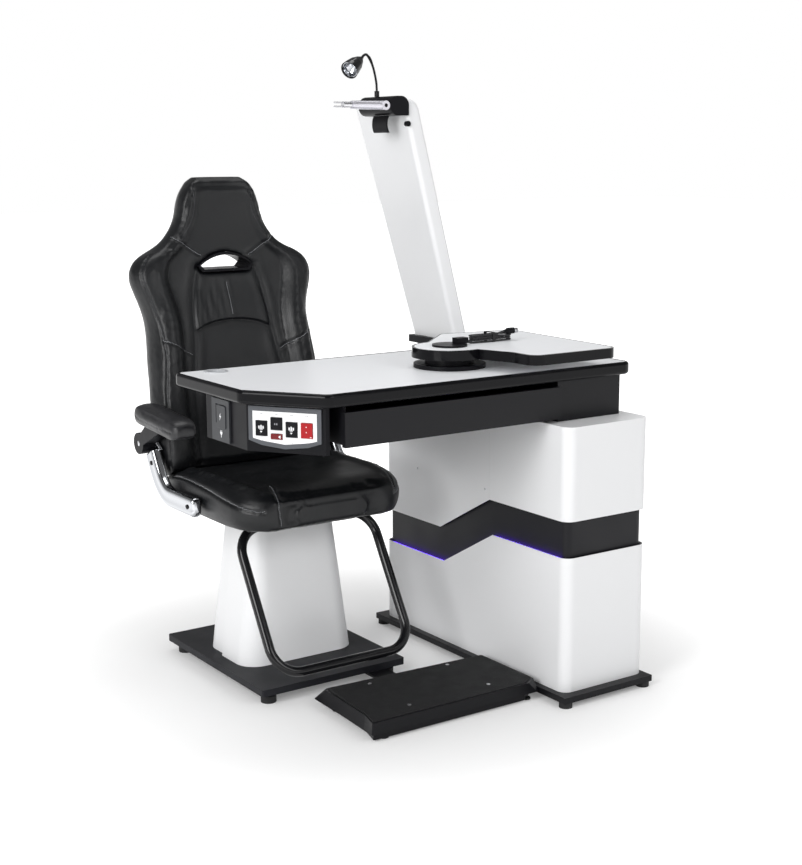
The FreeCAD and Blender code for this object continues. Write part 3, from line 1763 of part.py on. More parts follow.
def make_armrest(side, name):
    """One armrest: chrome bracket with its tab and pin, pivot block, and pad."""
    inner = L.seat_half_width + L.bracket_gap

    def across(near, far):
        """Two places across the chair, low one first, for this side."""
        if side > 0:
            return (L.chair_x + near, L.chair_x + far)
        return (L.chair_x - far, L.chair_x - near)

    x = across(inner, inner + L.bracket_thickness)
    bar = prism(name + "_bar", "YZ", bracket_points(), x[0], x[1], L.bracket_round)
    tab_x = across(inner, inner + L.tab_thickness)
    points = bracket_points()
    radius = L.tab_radius
    tab = prism(
        name + "_tab",
        "YZ",
        [
            points[3],
            points[4],
            (L.arm_pivot_y - radius * 0.7, L.arm_pivot_z + radius * 0.7),
            (L.arm_pivot_y + radius * 0.7, L.arm_pivot_z - radius * 0.7),
        ],
        tab_x[0],
        tab_x[1],
    )
    eye = cylinder(
        name + "_eye", radius, tab_x[1] - tab_x[0], tab_x[0], L.arm_pivot_y, L.arm_pivot_z, "X"
    )
    far = inner + L.tab_thickness + L.pivot_gap + L.block_thickness
    pin_x = across(inner, far)
    pin = cylinder(
        name + "_pin",
        L.pivot_pin_radius,
        pin_x[1] - pin_x[0],
        pin_x[0],
        L.arm_pivot_y,
        L.arm_pivot_z,
        "X",
    )
    keep(name + "_arm_bracket", fuse(name + "_bracket", [bar, tab, eye, pin]))

    near = inner + L.tab_thickness + L.pivot_gap
    block_x = across(near, far)
    drum = cylinder(
        name + "_drum",
        L.block_radius,
        block_x[1] - block_x[0],
        block_x[0],
        L.arm_pivot_y,
        L.arm_pivot_z,
        "X",
    )
    web_back = L.pad_back - L.block_setback
    web = prism(
        name + "_web",
        "YZ",
        [
            (L.arm_pivot_y - L.block_radius, L.arm_pivot_z),
            (L.arm_pivot_y + L.block_radius * 0.8, L.arm_pivot_z),
            (web_back, L.pad_bottom_back - L.pad_fall * 0.07),
            (web_back - L.block_web, L.pad_bottom_back - L.pad_fall * 0.45),
        ],
        block_x[0],
        block_x[1],
    )
    bore = cylinder(
        name + "_bore",
        L.pivot_pin_radius + L.running_gap,
        block_x[1] - block_x[0] + L.cut_overrun * 2,
        block_x[0] - L.cut_overrun,
        L.arm_pivot_y,
        L.arm_pivot_z,
        "X",
    )
    block = fuse(name + "_block", [drum, web])
    keep(name + "_arm_pivot", cut(name + "_pivot", block, bore))
    make_arm_pad(side, name)


def make_arm_pad(side, name):
    x = float(L.chair_x) + float(L.pad_offset) * side
    front = float(L.pad_front)
    length = float(L.pad_back) - front
    half = float(L.pad_half_width)
    wires = []
    for place, width, tall in PAD_SHARES:
        y = front + length * place
        low = float(L.pad_bottom_back) - float(L.pad_fall) * (1 - place)
        low += float(L.pivot_gap)
        height = float(L.pad_height)
        base = low + height * (1 - tall) / 2
        top = low + height - height * (1 - tall) * 0.7
        w = half * width
        side_z = base + (top - base) * 0.42
        wires.append(
            Part.Wire(
                [
                    Part.LineSegment(Vector(x - w * 0.9, y, base), Vector(x + w * 0.9, y, base)).toShape(),
                    bend(
                        Vector(x + w * 0.9, y, base),
                        Vector(x + w, y, side_z),
                        Vector(x + w * 0.86, y, top - height * 0.12),
                    ),
                    bend(
                        Vector(x + w * 0.86, y, top - height * 0.12),
                        Vector(x, y, top),
                        Vector(x - w * 0.86, y, top - height * 0.12),
                    ),
                    bend(
                        Vector(x - w * 0.86, y, top - height * 0.12),
                        Vector(x - w, y, side_z),
                        Vector(x - w * 0.9, y, base),
                    ),
                ]
            )
        )
    keep(name + "_arm_pad", shape_feature(name + "_pad", Part.makeLoft(wires, True, False)))


def sloping_run(start, end):
    """Two tangent arcs that change height between two level ends."""
    middle = (start + end) * 0.5
    rise = end.z - start.z
    flat = Vector(end.x - start.x, end.y - start.y, 0)
    quarter = Vector(0, 0, rise / 4 - rise * 0.125)
    first = start + flat * 0.25 + quarter
    last = end - flat * 0.25 - quarter
    return [Part.Arc(start, first, middle).toShape(), Part.Arc(middle, last, end).toShape()]


def quarter_turns(start, centre, turn):
    """A level half turn about a centre, as two quarter arcs."""
    edges = []
    arm = start - centre
    for step in range(2):
        places = []
        for part in (0, 0.5, 1):
            angle = math.radians(turn * (step + part) * 90)
            x = arm.x * math.cos(angle) - arm.y * math.sin(angle)
            y = arm.x * math.sin(angle) + arm.y * math.cos(angle)
            places.append(centre + Vector(x, y, 0))
        edges.append(Part.Arc(*places).toShape())
    return edges


def lead_route():
    """The lead's centre line: out of the outlet, three flat loops, and up to the plug."""
    radius = float(L.lead_radius)
    pitch = float(L.lead_pitch)
    bend_radius = float(L.lead_bend)
    y = float(L.pivot_y)
    floor = float(L.tray_bottom + L.tray_thickness)
    exit_x = float(L.pivot_x + L.outlet_offset + L.outlet_length)
    near = exit_x + float(L.hank_start)
    far = near + float(L.hank_run)
    exit_z = floor + float(L.cap_height) + radius
    low = floor + radius + float(L.tray_lift_gap)
    edges = []
    here = Vector(near, y, low)
    dip = Vector(exit_x + float(L.lead_dip), y, low)
    edges += sloping_run(Vector(exit_x, y, exit_z), dip)
    edges.append(Part.LineSegment(dip, here).toShape())
    for _ in range(LEAD_TURNS):
        there = Vector(far, y, here.z)
        edges.append(Part.LineSegment(here, there).toShape())
        edges += quarter_turns(there, Vector(far, y + bend_radius, here.z), 1)
        back = Vector(far, y + 2 * bend_radius, here.z)
        home = Vector(near, y + 2 * bend_radius, here.z + pitch)
        edges += sloping_run(back, home)
        edges += quarter_turns(home, Vector(near, y + bend_radius, home.z), 1)
        here = Vector(near, y, home.z)
    plug_x = far - float(L.plug_setback)
    climb = Vector(plug_x - float(L.lead_dip), y, here.z)
    plug_z = here.z - pitch + radius + float(L.plug_radius) + float(L.tray_lift_gap)
    edges.append(Part.LineSegment(here, climb).toShape())
    edges += sloping_run(climb, Vector(plug_x, y, plug_z))
    return Part.Wire(edges), plug_x, plug_z


def print_least_gap(name, route, radius):
    """The least gap between stretches of a cord that aren't neighbours along it."""
    step = radius
    points = route.discretize(Distance=step)
    apart = int(radius * 6 / step)
    least = min(
        points[i].distanceToPoint(points[j])
        for i in range(len(points))
        for j in range(i + apart, len(points))
    )
    print(name, "length", round(route.Length, 1), "least gap", round(least - radius * 2, 2))


def make_cable():
    """The instrument lead lies on the tray in tied loops, with its plug on top."""
    route, plug_x, plug_z = lead_route()
    radius = float(L.lead_radius)
    first = route.OrderedEdges[0]
    start = first.valueAt(first.FirstParameter)
    ring = Part.Circle(start, first.tangentAt(first.FirstParameter), radius).toShape()
    tube = route.makePipeShell([Part.Wire([ring])], True, False)
    keep("lead_hank", shape_feature("lead_hank", tube))
    print_least_gap("lead_hank", route, radius)
    plug_start = Vector(plug_x, float(L.pivot_y), plug_z)
    forward = Vector(1, 0, 0)
    plug = Part.makeCylinder(float(L.plug_radius), float(L.plug_length), plug_start, forward)
    keep("lead_plug", shape_feature("lead_plug", plug))


def check_and_export():
    doc.recompute()
    faults = []
    for thing in doc.Objects:
        if "Invalid" in thing.State or "Error" in thing.State:
            faults.append(f"{thing.Label}: {thing.State}")
    for thing in nodes:
        shape = thing.Shape
        if shape.isNull() or not shape.isValid() or not shape.Solids:
            faults.append(f"{thing.Label}: not a valid solid")
    if faults:
        raise RuntimeError("; ".join(faults))
    os.makedirs(OUTPUT_FOLDER, exist_ok=True)
    for thing in nodes:
        thing.Shape.exportStep(os.path.join(OUTPUT_FOLDER, thing.Label + ".step"))
        box = thing.Shape.BoundBox
        low = [round(v, 1) for v in (box.XMin, box.YMin, box.ZMin)]
        high = [round(v, 1) for v in (box.XMax, box.YMax, box.ZMax)]
        print(thing.Label, len(thing.Shape.Solids), low, high)
    bounds = FreeCAD.BoundBox()
    for thing in nodes:
        bounds.add(thing.Shape.BoundBox)
    print("nodes", len(nodes), "box", bounds)


make_chair_base()
make_footboard()
make_cabinet_base()
make_cabinet_top()
make_table()
make_drawer()
make_controls()
make_tray()
make_cable()
make_head(make_column())
make_lamp()
make_seat()
make_seat_cushion()
make_backrest()
for arm_side, arm_name in ((-1, "left"), (1, "right")):
    make_armrest(arm_side, arm_name)
check_and_export()
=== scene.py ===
# %% [markdown]
# An examination unit for an eye clinic: a lifting chair, a footboard, a cabinet that lifts an
# instrument table, a swivelling tray, and a leaning column with an arm and a lamp. Its solids come
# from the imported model, which fixes every place and joint. This script dresses them: upholstery,
# lead, small parts, finishes, light and camera. Lengths are metres, in the solids' own frame.

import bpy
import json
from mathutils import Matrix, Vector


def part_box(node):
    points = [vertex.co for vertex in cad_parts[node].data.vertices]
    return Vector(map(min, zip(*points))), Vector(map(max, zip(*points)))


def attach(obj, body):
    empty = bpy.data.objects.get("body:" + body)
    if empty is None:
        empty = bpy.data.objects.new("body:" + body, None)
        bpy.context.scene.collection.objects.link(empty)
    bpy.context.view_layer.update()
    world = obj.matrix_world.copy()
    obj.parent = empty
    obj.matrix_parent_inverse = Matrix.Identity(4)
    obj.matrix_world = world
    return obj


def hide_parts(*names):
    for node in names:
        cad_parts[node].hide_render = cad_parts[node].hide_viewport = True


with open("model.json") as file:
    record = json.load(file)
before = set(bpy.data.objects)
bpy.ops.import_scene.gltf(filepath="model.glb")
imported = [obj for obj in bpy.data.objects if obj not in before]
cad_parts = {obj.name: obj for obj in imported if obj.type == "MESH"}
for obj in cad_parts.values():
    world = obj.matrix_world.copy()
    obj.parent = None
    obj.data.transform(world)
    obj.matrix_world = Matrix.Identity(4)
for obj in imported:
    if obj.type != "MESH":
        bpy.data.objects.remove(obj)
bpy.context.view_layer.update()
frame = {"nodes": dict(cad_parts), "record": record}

import json
import math

import bmesh
import bpy
import numpy as np
from mathutils import Matrix, Vector, noise
from mathutils.bvhtree import BVHTree
from mathutils.kdtree import KDTree

scene = bpy.context.scene
MM = 0.001

# %% [markdown]
# The camera comes first, because every later choice is judged through it. It stands in front of
# the chair and to its right, a little above the table, with a long lens. A camera can be aimed with
# a constraint, but a matrix built from its own right, up and back directions is exact and stays put.

# %% The camera
CAMERA_PLACE = Vector((-2.0561, -3.1446, 1.3651))
CAMERA_TURN = math.radians(34.45)
CAMERA_FALL = math.radians(10.83)
CAMERA_TILT = math.radians(-0.21)
CAMERA_LENS = 60.86


def aim_camera():
    """The camera object, looking along its turn and fall, tilted about its own axis."""
    level = math.cos(CAMERA_FALL)
    east, north = math.sin(CAMERA_TURN), math.cos(CAMERA_TURN)
    ahead = Vector((east * level, north * level, -math.sin(CAMERA_FALL)))
    right = Vector((north, -east, 0))
    up = right.cross(ahead)
    tilt = Matrix.Rotation(-CAMERA_TILT, 3, ahead)
    columns = [tilt @ right, tilt @ up, -ahead]
    data = bpy.data.cameras.new("camera")
    data.lens = CAMERA_LENS
    data.clip_end = 60
    camera = bpy.data.objects.new("camera", data)
    scene.collection.objects.link(camera)
    turned = Matrix(columns).transposed().to_4x4()
    camera.matrix_world = Matrix.Translation(CAMERA_PLACE) @ turned
    scene.camera = camera
    return camera


camera = aim_camera()
print("camera at", [round(v, 3) for v in camera.location], "lens", camera.data.lens, "mm")

# %% [markdown]
# A few small makers are used all through. Each finished piece is a plain mesh whose object sits at
# the origin, so that patterns on object coordinates stay where they are when the piece moves.

# %% Makers for plain pieces
def add_object(name, data):
    piece = bpy.data.objects.new(name, data)
    scene.collection.objects.link(piece)
    return piece


def mesh_piece(name, points, faces, smooth=True):
    """A mesh object with its faces pointing outwards."""
    data = bpy.data.meshes.new(name)
    data.from_pydata([tuple(p) for p in points], [], faces)
    shell = bmesh.new()
    shell.from_mesh(data)
    bmesh.ops.recalc_face_normals(shell, faces=shell.faces)
    shell.to_mesh(data)
    shell.free()
    data.polygons.foreach_set("use_smooth", [smooth] * len(data.polygons))
    return add_object(name, data)


def ring_faces(low, high, count):
    """The faces between two rings of points, given the number of each ring's first point."""
    pairs = [(step, (step + 1) % count) for step in range(count)]
    return [(low + here, low + after, high + after, high + here) for here, after in pairs]


def plate_faces(first, count):
    """The faces of a closed plate whose two outlines follow each other in the list of points."""
    back = first + count
    ends = [tuple(range(first, back)), tuple(range(back, back + count))[::-1]]
    return ends + ring_faces(first, back, count)


def tube_faces(rows, around):
    """The faces of a closed tube of rings: its wall, then its two ends."""
    faces = []
    for row in range(rows - 1):
        faces += ring_faces(row * around, (row + 1) * around, around)
    return faces + [tuple(range(around))[::-1], tuple(range((rows - 1) * around, rows * around))]


def heading(line, number):
    """The way a line runs at one of its points: from the point before it to the point after."""
    return line[min(number + 1, len(line) - 1)] - line[max(number - 1, 0)]


def runs_of(line):
    """How far along a line each of its points lies."""
    runs = [0.0]
    for a, b in zip(line, line[1:]):
        runs.append(runs[-1] + (b - a).length)
    return runs


def plain(piece):
    """Swap a piece's modifiers for the plain mesh that they make."""
    graph = bpy.context.evaluated_depsgraph_get()
    made = bpy.data.meshes.new_from_object(piece.evaluated_get(graph), depsgraph=graph)
    piece.modifiers.clear()
    piece.data = made
    return piece


def settle(piece, body, slot, *nodes):
    """Tie a finished piece to its body, and hide the nodes it stands for. The slot is not used."""
    if nodes:
        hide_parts(*nodes)
    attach(piece, body)
    print(piece.name, "rides on", body)
    return piece


def lathe(name, profile, start, along, around=40):
    """A turned mesh: profile is a list of (distance along the axis, radius)."""
    along = Vector(along).normalized()
    side = along.orthogonal().normalized()
    other = along.cross(side)
    points, rings, faces = [], [], []
    for distance, radius in profile:
        centre = Vector(start) + along * distance
        count = around if radius > 0 else 1
        rings.append(range(len(points), len(points) + count))
        for step in range(count):
            angle = math.tau * step / around
            points.append(centre + (side * math.cos(angle) + other * math.sin(angle)) * radius)
    for low, high in zip(rings, rings[1:]):
        for step in range(around):
            after = (step + 1) % around
            turns = ((low, step), (low, after), (high, after), (high, step))
            corners = [ring[turn % len(ring)] for ring, turn in turns]
            face = list(dict.fromkeys(corners))
            if len(face) > 2:
                faces.append(face)
    for ring, turned in ((rings[0], True), (rings[-1], False)):
        if len(ring) > 1:
            faces.append(list(ring)[::-1] if turned else list(ring))
    return mesh_piece(name, points, faces)


def soften_edges(piece, width, steps=2):
    """Round a piece's sharp edges with a narrow bevel, then keep the plain mesh."""
    bevel = piece.modifiers.new("edges", "BEVEL")
    bevel.width = width
    bevel.segments = steps
    bevel.limit_method = "ANGLE"
    bevel.angle_limit = math.radians(35)
    return plain(piece)


# %% [markdown]
# A lead for an instrument lies on the tray in three tied loops, about 0.95 m of 5 mm cable with a
# round plug. A cable bends smoothly everywhere, so it is one NURBS spline of order 3: its control
# points stand just outside each bend, and the curve cuts inside them. The loops differ a little in
# size, as hand-wound ones do, and each lies a cable's thickness above the last.

# %% The route of the lead
LEAD_THICK = 5 * MM
LEAD_EXIT = Vector((0.136, -0.237, 0.9005))
LEAD_FLOOR = 0.8958
LOOP_NEAR = 0.178
LOOP_FAR = 0.270
LOOP_MIDDLE_Y = -0.222
LOOP_BEND = 15 * MM
LOOP_CLIMB = 5.6 * MM
FOLD_POINTS = 5
LOOSE = ((0.0, 0.0), (-1.6, 0.5), (0.8, -0.4))


def lead_points():
    """Control points: out of the block, down to the tray, three loops, up into the plug."""
    y = LEAD_EXIT.y
    points = [LEAD_EXIT]
    points += [Vector((x, y, z)) for x, z in ((0.145, 0.9004), (0.154, 0.8962), (0.170, LEAD_FLOOR))]
    per_turn = 2 * (FOLD_POINTS + 1)
    step = math.pi / FOLD_POINTS
    reach = LOOP_BEND / math.cos(step / 2)
    number = 0
    for far_shift, near_shift in LOOSE:
        for end, side in ((LOOP_FAR + far_shift * MM, -1), (LOOP_NEAR + near_shift * MM, 1)):
            z = LEAD_FLOOR + LOOP_CLIMB * number / per_turn
            points.append(Vector(((LOOP_NEAR + LOOP_FAR) / 2, LOOP_MIDDLE_Y + side * LOOP_BEND, z)))
            number += 1
            for fold in range(FOLD_POINTS):
                angle = side * math.pi / 2 + step * (fold + 0.5)
                z = LEAD_FLOOR + LOOP_CLIMB * number / per_turn
                x, across = end + reach * math.cos(angle), LOOP_MIDDLE_Y + reach * math.sin(angle)
                points.append(Vector((x, across, z)))
                number += 1
    top = LEAD_FLOOR + LOOP_CLIMB * len(LOOSE)
    rise = ((0.216, top), (0.236, top), (0.247, 0.9166), (0.258, 0.9178))
    return points + [Vector((x, y, z)) for x, z in rise]


def bare_line(curve):
    """The points along a curve's own line, read from it without its thickness."""
    depth, curve.data.bevel_depth = curve.data.bevel_depth, 0
    bpy.context.view_layer.update()
    line = bpy.data.meshes.new_from_object(curve)
    curve.data.bevel_depth = depth
    return [v.co.copy() for v in line.vertices]


def make_lead():
    data = bpy.data.curves.new("lead", "CURVE")
    data.dimensions = "3D"
    spline = data.splines.new("NURBS")
    route = lead_points()
    spline.points.add(len(route) - 1)
    for point, place in zip(spline.points, route):
        point.co = (*place, 1)
    spline.order_u = 3
    spline.use_endpoint_u = True
    spline.resolution_u = 8
    spline.use_smooth = True
    data.bevel_depth = LEAD_THICK / 2
    data.bevel_resolution = 4
    data.use_fill_caps = True
    return add_object("lead", data)


lead = make_lead()
lead_line = bare_line(lead)
lead_length = runs_of(lead_line)[-1]
print("lead", len(lead.data.splines[0].points), "points, length", round(lead_length, 4))

# %% [markdown]
# Where the cable leaves its block a soft sleeve keeps it from kinking. It is a thin tapered tube
# that follows the cable's own first stretch. The plug is a turned handle with grip rings, a metal
# collar and a metal nose. A strap holds the loops together.

# %% Strain relief, plug and strap of the lead
SLEEVE_LENGTH = 0.022


def follow(line, length):
    """The first stretch of a line, up to a length."""
    return [point for point, gone in zip(line, runs_of(line)) if gone <= length]


def tapered_tube(name, line, radii, around=20):
    """A closed tube along a line whose radius changes evenly through the given values."""
    points = []
    for number, place in enumerate(line):
        ahead = heading(line, number).normalized()
        side = ahead.cross(Vector((0, 1, 0))).normalized()
        other = ahead.cross(side)
        share = number / (len(line) - 1) * (len(radii) - 1)
        low = min(int(share), len(radii) - 2)
        radius = radii[low] + (radii[low + 1] - radii[low]) * (share - low)
        for step in range(around):
            angle = math.tau * step / around
            points.append(place + (side * math.cos(angle) + other * math.sin(angle)) * radius)
    return mesh_piece(name, points, tube_faces(len(line), around))


sleeve_radii = [radius * MM for radius in (4.6, 4.4, 3.7, 3.9, 3.4, 3.5, 3.0, 2.8)]
lead_sleeve = tapered_tube("lead_sleeve", follow(lead_line, SLEEVE_LENGTH), sleeve_radii)

plug_start = Vector((0.2565, -0.237, 0.9178))
plug_profile = [
    (0.0000, 0.0026), (0.0005, 0.0034), (0.0030, 0.0040), (0.0040, 0.0036), (0.0055, 0.0046),
    (0.0065, 0.0042), (0.0080, 0.0055), (0.0100, 0.0072), (0.0125, 0.0079), (0.0150, 0.0080),
    (0.0155, 0.0076), (0.0165, 0.0076), (0.0170, 0.0080), (0.0185, 0.0080), (0.0190, 0.0076),
    (0.0200, 0.0076), (0.0205, 0.0080), (0.0220, 0.0080), (0.0225, 0.0076), (0.0235, 0.0076),
    (0.0240, 0.0080), (0.0310, 0.0079), (0.0320, 0.0074),
]
plug_handle = lathe("plug_handle", plug_profile, plug_start, (1, 0, 0))
collar_profile = [
    (0.0318, 0.0072), (0.0320, 0.0078), (0.0345, 0.0078), (0.0350, 0.0066),
    (0.0425, 0.0064), (0.0430, 0.0058), (0.0415, 0.0056), (0.0365, 0.0056),
]
plug_nose = lathe("plug_nose", collar_profile, plug_start, (1, 0, 0))

STRAP_X = (0.2185, 0.2285)
STRAP_LOW = Vector((0, -0.2402, 0.8932))
STRAP_HIGH = Vector((0, -0.2038, 0.9168))
STRAP_THICK = 0.9 * MM
STRAP_CORNER = 3.5 * MM


def strap_ring(grow):
    """A rounded rectangle round the loops, as (y, z) places."""
    radius = STRAP_CORNER + grow
    low_y, low_z = STRAP_LOW.y - grow + radius, STRAP_LOW.z - grow + radius
    high_y, high_z = STRAP_HIGH.y + grow - radius, STRAP_HIGH.z + grow - radius
    places = []
    for y, z, start in ((high_y, high_z, 0), (low_y, high_z, 90), (low_y, low_z, 180), (high_y, low_z, 270)):
        for step in range(7):
            angle = math.radians(start + 15 * step)
            places.append((y + radius * math.cos(angle), z + radius * math.sin(angle)))
    return places


def make_strap():
    """A closed band of four rings round the loops."""
    rings = [(STRAP_X[0], 0), (STRAP_X[1], 0), (STRAP_X[1], STRAP_THICK), (STRAP_X[0], STRAP_THICK)]
    points, faces = [], []
    for x, grow in rings:
        points += [(x, y, z) for y, z in strap_ring(grow)]
    count = len(points) // len(rings)
    for ring in range(len(rings)):
        faces += ring_faces(ring * count, (ring + 1) % len(rings) * count, count)
    return mesh_piece("lead_strap", points, faces, smooth=False)


lead_strap = make_strap()
print("plug from x", plug_start.x, "strap", len(lead_strap.data.vertices), "points")

# %% [markdown]
# Every cushion starts as its solid. A solid's skin is long thin triangles, which neither swell nor
# crease evenly, so a copy is remeshed into small squares first. It is drawn in a little, then blown
# up by a short cloth simulation with air pressure: the faces crown and the edges stay tight, as foam
# under leather does. Each point only keeps its way along its own normal, within a limit, so that the
# pad neither shrinks nor leaves the room that the solid holds.

# %% Blank, swell and limit a pad
PAD_FRAMES = 20
PAD_PRESSURE = 4.0
PAD_SINK = 0.4 * MM


def places_of(mesh):
    found = np.empty(len(mesh.vertices) * 3)
    mesh.vertices.foreach_get("co", found)
    return found.reshape(-1, 3)


def put_places(mesh, places):
    mesh.vertices.foreach_set("co", places.ravel())
    mesh.update()


def normals_of(mesh):
    found = np.empty(len(mesh.vertices) * 3)
    mesh.vertices.foreach_get("normal", found)
    return found.reshape(-1, 3)


def push(piece, amount):
    """Move a piece's points along their own normals, by one distance or by one for each point."""
    amount = np.asarray(amount).reshape(-1, 1)
    put_places(piece.data, places_of(piece.data) + normals_of(piece.data) * amount)
    return piece


def blank_of(node, name, voxel, draw_in):
    """An even mesh in the shape of a soft solid, with its skin drawn in by up to a millimetre."""
    data = frame["nodes"][node].data.copy()
    data.materials.clear()
    shell = bmesh.new()
    shell.from_mesh(data)
    bmesh.ops.remove_doubles(shell, verts=shell.verts, dist=MM / 50)
    shell.to_mesh(data)
    shell.free()
    piece = add_object(name, data)
    even = piece.modifiers.new("even", "REMESH")
    even.mode = "VOXEL"
    even.voxel_size = voxel
    plain(piece)
    return push(piece, -draw_in)


def swell(piece, limit):
    """Blow a pad up with air pressure, and keep how far each point goes along its own normal."""
    air = piece.modifiers.new("air", "CLOTH")
    air.settings.quality = 4
    air.settings.mass = 0.4
    air.settings.use_pressure = True
    air.settings.uniform_pressure_force = PAD_PRESSURE
    air.settings.effector_weights.gravity = 0
    air.collision_settings.use_collision = False
    air.point_cache.frame_start = 1
    air.point_cache.frame_end = PAD_FRAMES
    for step in range(1, PAD_FRAMES + 1):
        scene.frame_set(step)
    graph = bpy.context.evaluated_depsgraph_get()
    after = places_of(piece.evaluated_get(graph).data)
    scene.frame_set(1)
    piece.modifiers.remove(air)
    way = after - places_of(piece.data)
    way -= way.mean(axis=0)
    outward = np.clip((way * normals_of(piece.data)).sum(axis=1, keepdims=True), -PAD_SINK, limit)
    most, mean = (round(float(value) / MM, 1) for value in (outward.max(), outward.mean()))
    print(piece.name, "swelled by up to", most, "mm, mean", mean)
    return push(piece, outward)


def hold_within(piece, low=(None, None, None), high=(None, None, None)):
    """Stop a pad at what it rests on: planes across X, Y and Z."""
    places = places_of(piece.data)
    for axis in range(3):
        if low[axis] is not None:
            places[:, axis] = np.maximum(places[:, axis], low[axis])
        if high[axis] is not None:
            places[:, axis] = np.minimum(places[:, axis], high[axis])
    put_places(piece.data, places)


def refine(piece):
    """One round of subdivision, then smooth shading."""
    finer = piece.modifiers.new("finer", "SUBSURF")
    finer.levels = finer.render_levels = 1
    plain(piece)
    piece.data.polygons.foreach_set("use_smooth", [True] * len(piece.data.polygons))
    return piece


print("pads swell over", PAD_FRAMES, "frames at pressure", PAD_PRESSURE)

# %% [markdown]
# A seam is where two panels are sewn: the thread pulls the skin into a narrow groove, the padding
# rolls up on both sides, and the leather gathers in small puckers. Remeshing would wipe all of that
# out, so seams come after it. Each is a smooth line laid on the finished skin, and every point of
# the mesh moves along its own normal by its distance from the nearest line.

# %% Seams, rolls and puckers
def smooth_line(points, step=2 * MM):
    """Points a step apart on a smooth curve through the given ones."""
    points = [Vector(p) for p in points]
    ends = [points[0] * 2 - points[1]] + points + [points[-1] * 2 - points[-2]]
    line = []
    for a, b, c, d in zip(ends, ends[1:], ends[2:], ends[3:]):
        count = max(1, round((c - b).length / step))
        for number in range(count):
            t = number / count
            line.append(0.5 * (
                b * 2 + (c - a) * t + (a * 2 - b * 5 + c * 4 - d) * t * t + (b * 3 - a - c * 3 + d) * t ** 3
            ))
    return line + [points[-1]]


def skin_of(piece):
    data = piece.data
    return BVHTree.FromPolygons([v.co for v in data.vertices], [p.vertices for p in data.polygons])


def lay_on(skin, line, lift=0.0):
    """A line moved onto the nearest skin, lifted along the skin's normal."""
    laid = []
    for point in line:
        place, normal, _, _ = skin.find_nearest(point)
        laid.append(place + normal * lift)
    return laid


def beside(skin, line, offset, lift):
    """A line beside a seam, on the skin, at an offset to its left."""
    laid = []
    for number, point in enumerate(line):
        place, normal, _, _ = skin.find_nearest(point)
        side = normal.cross(heading(line, number)).normalized()
        place, normal, _, _ = skin.find_nearest(place + side * offset)
        laid.append(place + normal * lift)
    return laid


def sew(piece, seams, width, depth, roll, pucker=0.0, pitch=13 * MM):
    """Press seams into a pad: a groove, a roll of padding beside it, and gathers across it."""
    samples, runs = [], []
    for seam in seams:
        samples += seam
        runs += runs_of(seam)
    tree = KDTree(len(samples))
    for number, point in enumerate(samples):
        tree.insert(point, number)
    tree.balance()
    places = places_of(piece.data)
    away = np.empty(len(places))
    along = np.empty(len(places))
    for number, place in enumerate(places):
        _, nearest, distance = tree.find(place)
        away[number] = distance
        along[number] = runs[nearest]
    groove = -depth * np.exp(-((away / width) ** 2))
    swollen = roll * np.exp(-(((away - width * 3.2) / (width * 2.2)) ** 2))
    wave = np.sin(math.tau * along / pitch + 1.7 * np.sin(along / pitch * 1.3))
    gathers = pucker * wave * np.exp(-((away / (width * 3.0)) ** 2))
    return push(piece, groove + swollen + gathers)


def crease(piece, size, height, seed, where=None):
    """Soft unevenness of the skin, from three-dimensional noise of a given size."""
    places = places_of(piece.data)
    shift = Vector((seed * 3.1, seed * 1.7, seed * 2.3))
    waves = np.array([noise.noise(Vector(p) / size + shift) for p in places])
    share = np.ones(len(places)) if where is None else where(places)
    return push(piece, waves * height * share)


def mirrored(points, middle):
    return [Vector((2 * middle - p[0], p[1], p[2])) for p in points]


CHAIR_X = -0.172
print("seams are laid about the chair's middle at x", CHAIR_X)

# %% [markdown]
# The seat cushion is a dished pad with two soft bolsters. Its leather is cut in panels: a long seam
# runs round the side under each bolster, a short one crosses the front edge, and a curved one
# follows the other bolster to the front. Light thread shows along them.

# %% The seat cushion
SEAT_FLOOR = 0.4455
SEAT_SIDE = 0.2576
SEAT_FRONT = -0.0935
FRONT_GIVE = 2.5 * MM
GATHERS_X = (-0.262, 0.045)
GATHERS_Y = (-0.088, 0.030)
GATHER_STEP = 2.6 * MM
GATHER_HEIGHT = 0.35 * MM


def hold_seat():
    """Keep the seat cushion between the brackets and above its pan."""
    low, high = CHAIR_X - SEAT_SIDE, CHAIR_X + SEAT_SIDE
    hold_within(seat_cushion, low=(low, None, SEAT_FLOOR), high=(high, None, None))


def smooth_front(piece):
    """Ease what stands out of the seat's front face back towards it, so that the face runs smooth."""
    places = places_of(piece.data)
    over = np.maximum(SEAT_FRONT - places[:, 1], 0.0)
    places[:, 1] += over - FRONT_GIVE * np.tanh(over / FRONT_GIVE)
    put_places(piece.data, places)


seat_cushion = blank_of("seat_cushion", "seat_upholstery", 6 * MM, 1 * MM)
swell(seat_cushion, 7 * MM)
hold_seat()
refine(seat_cushion)
smooth_front(seat_cushion)

seat_side_seam = [
    (-0.414, 0.330, 0.527), (-0.416, 0.274, 0.531), (-0.418, 0.198, 0.532), (-0.420, 0.122, 0.529),
    (-0.421, 0.064, 0.524), (-0.421, 0.005, 0.518), (-0.415, -0.047, 0.511), (-0.400, -0.084, 0.505),
    (-0.372, -0.099, 0.503),
]
seat_front_seam = [
    (-0.306, -0.010, 0.543), (-0.318, -0.046, 0.538), (-0.326, -0.076, 0.530), (-0.328, -0.098, 0.508),
    (-0.324, -0.102, 0.490), (-0.321, -0.100, 0.462),
]
seat_arc_seam = [
    (0.034, 0.190, 0.549), (0.036, 0.070, 0.550), (0.031, 0.003, 0.549), (0.028, -0.055, 0.542),
    (0.030, -0.086, 0.525), (0.036, -0.098, 0.504),
]


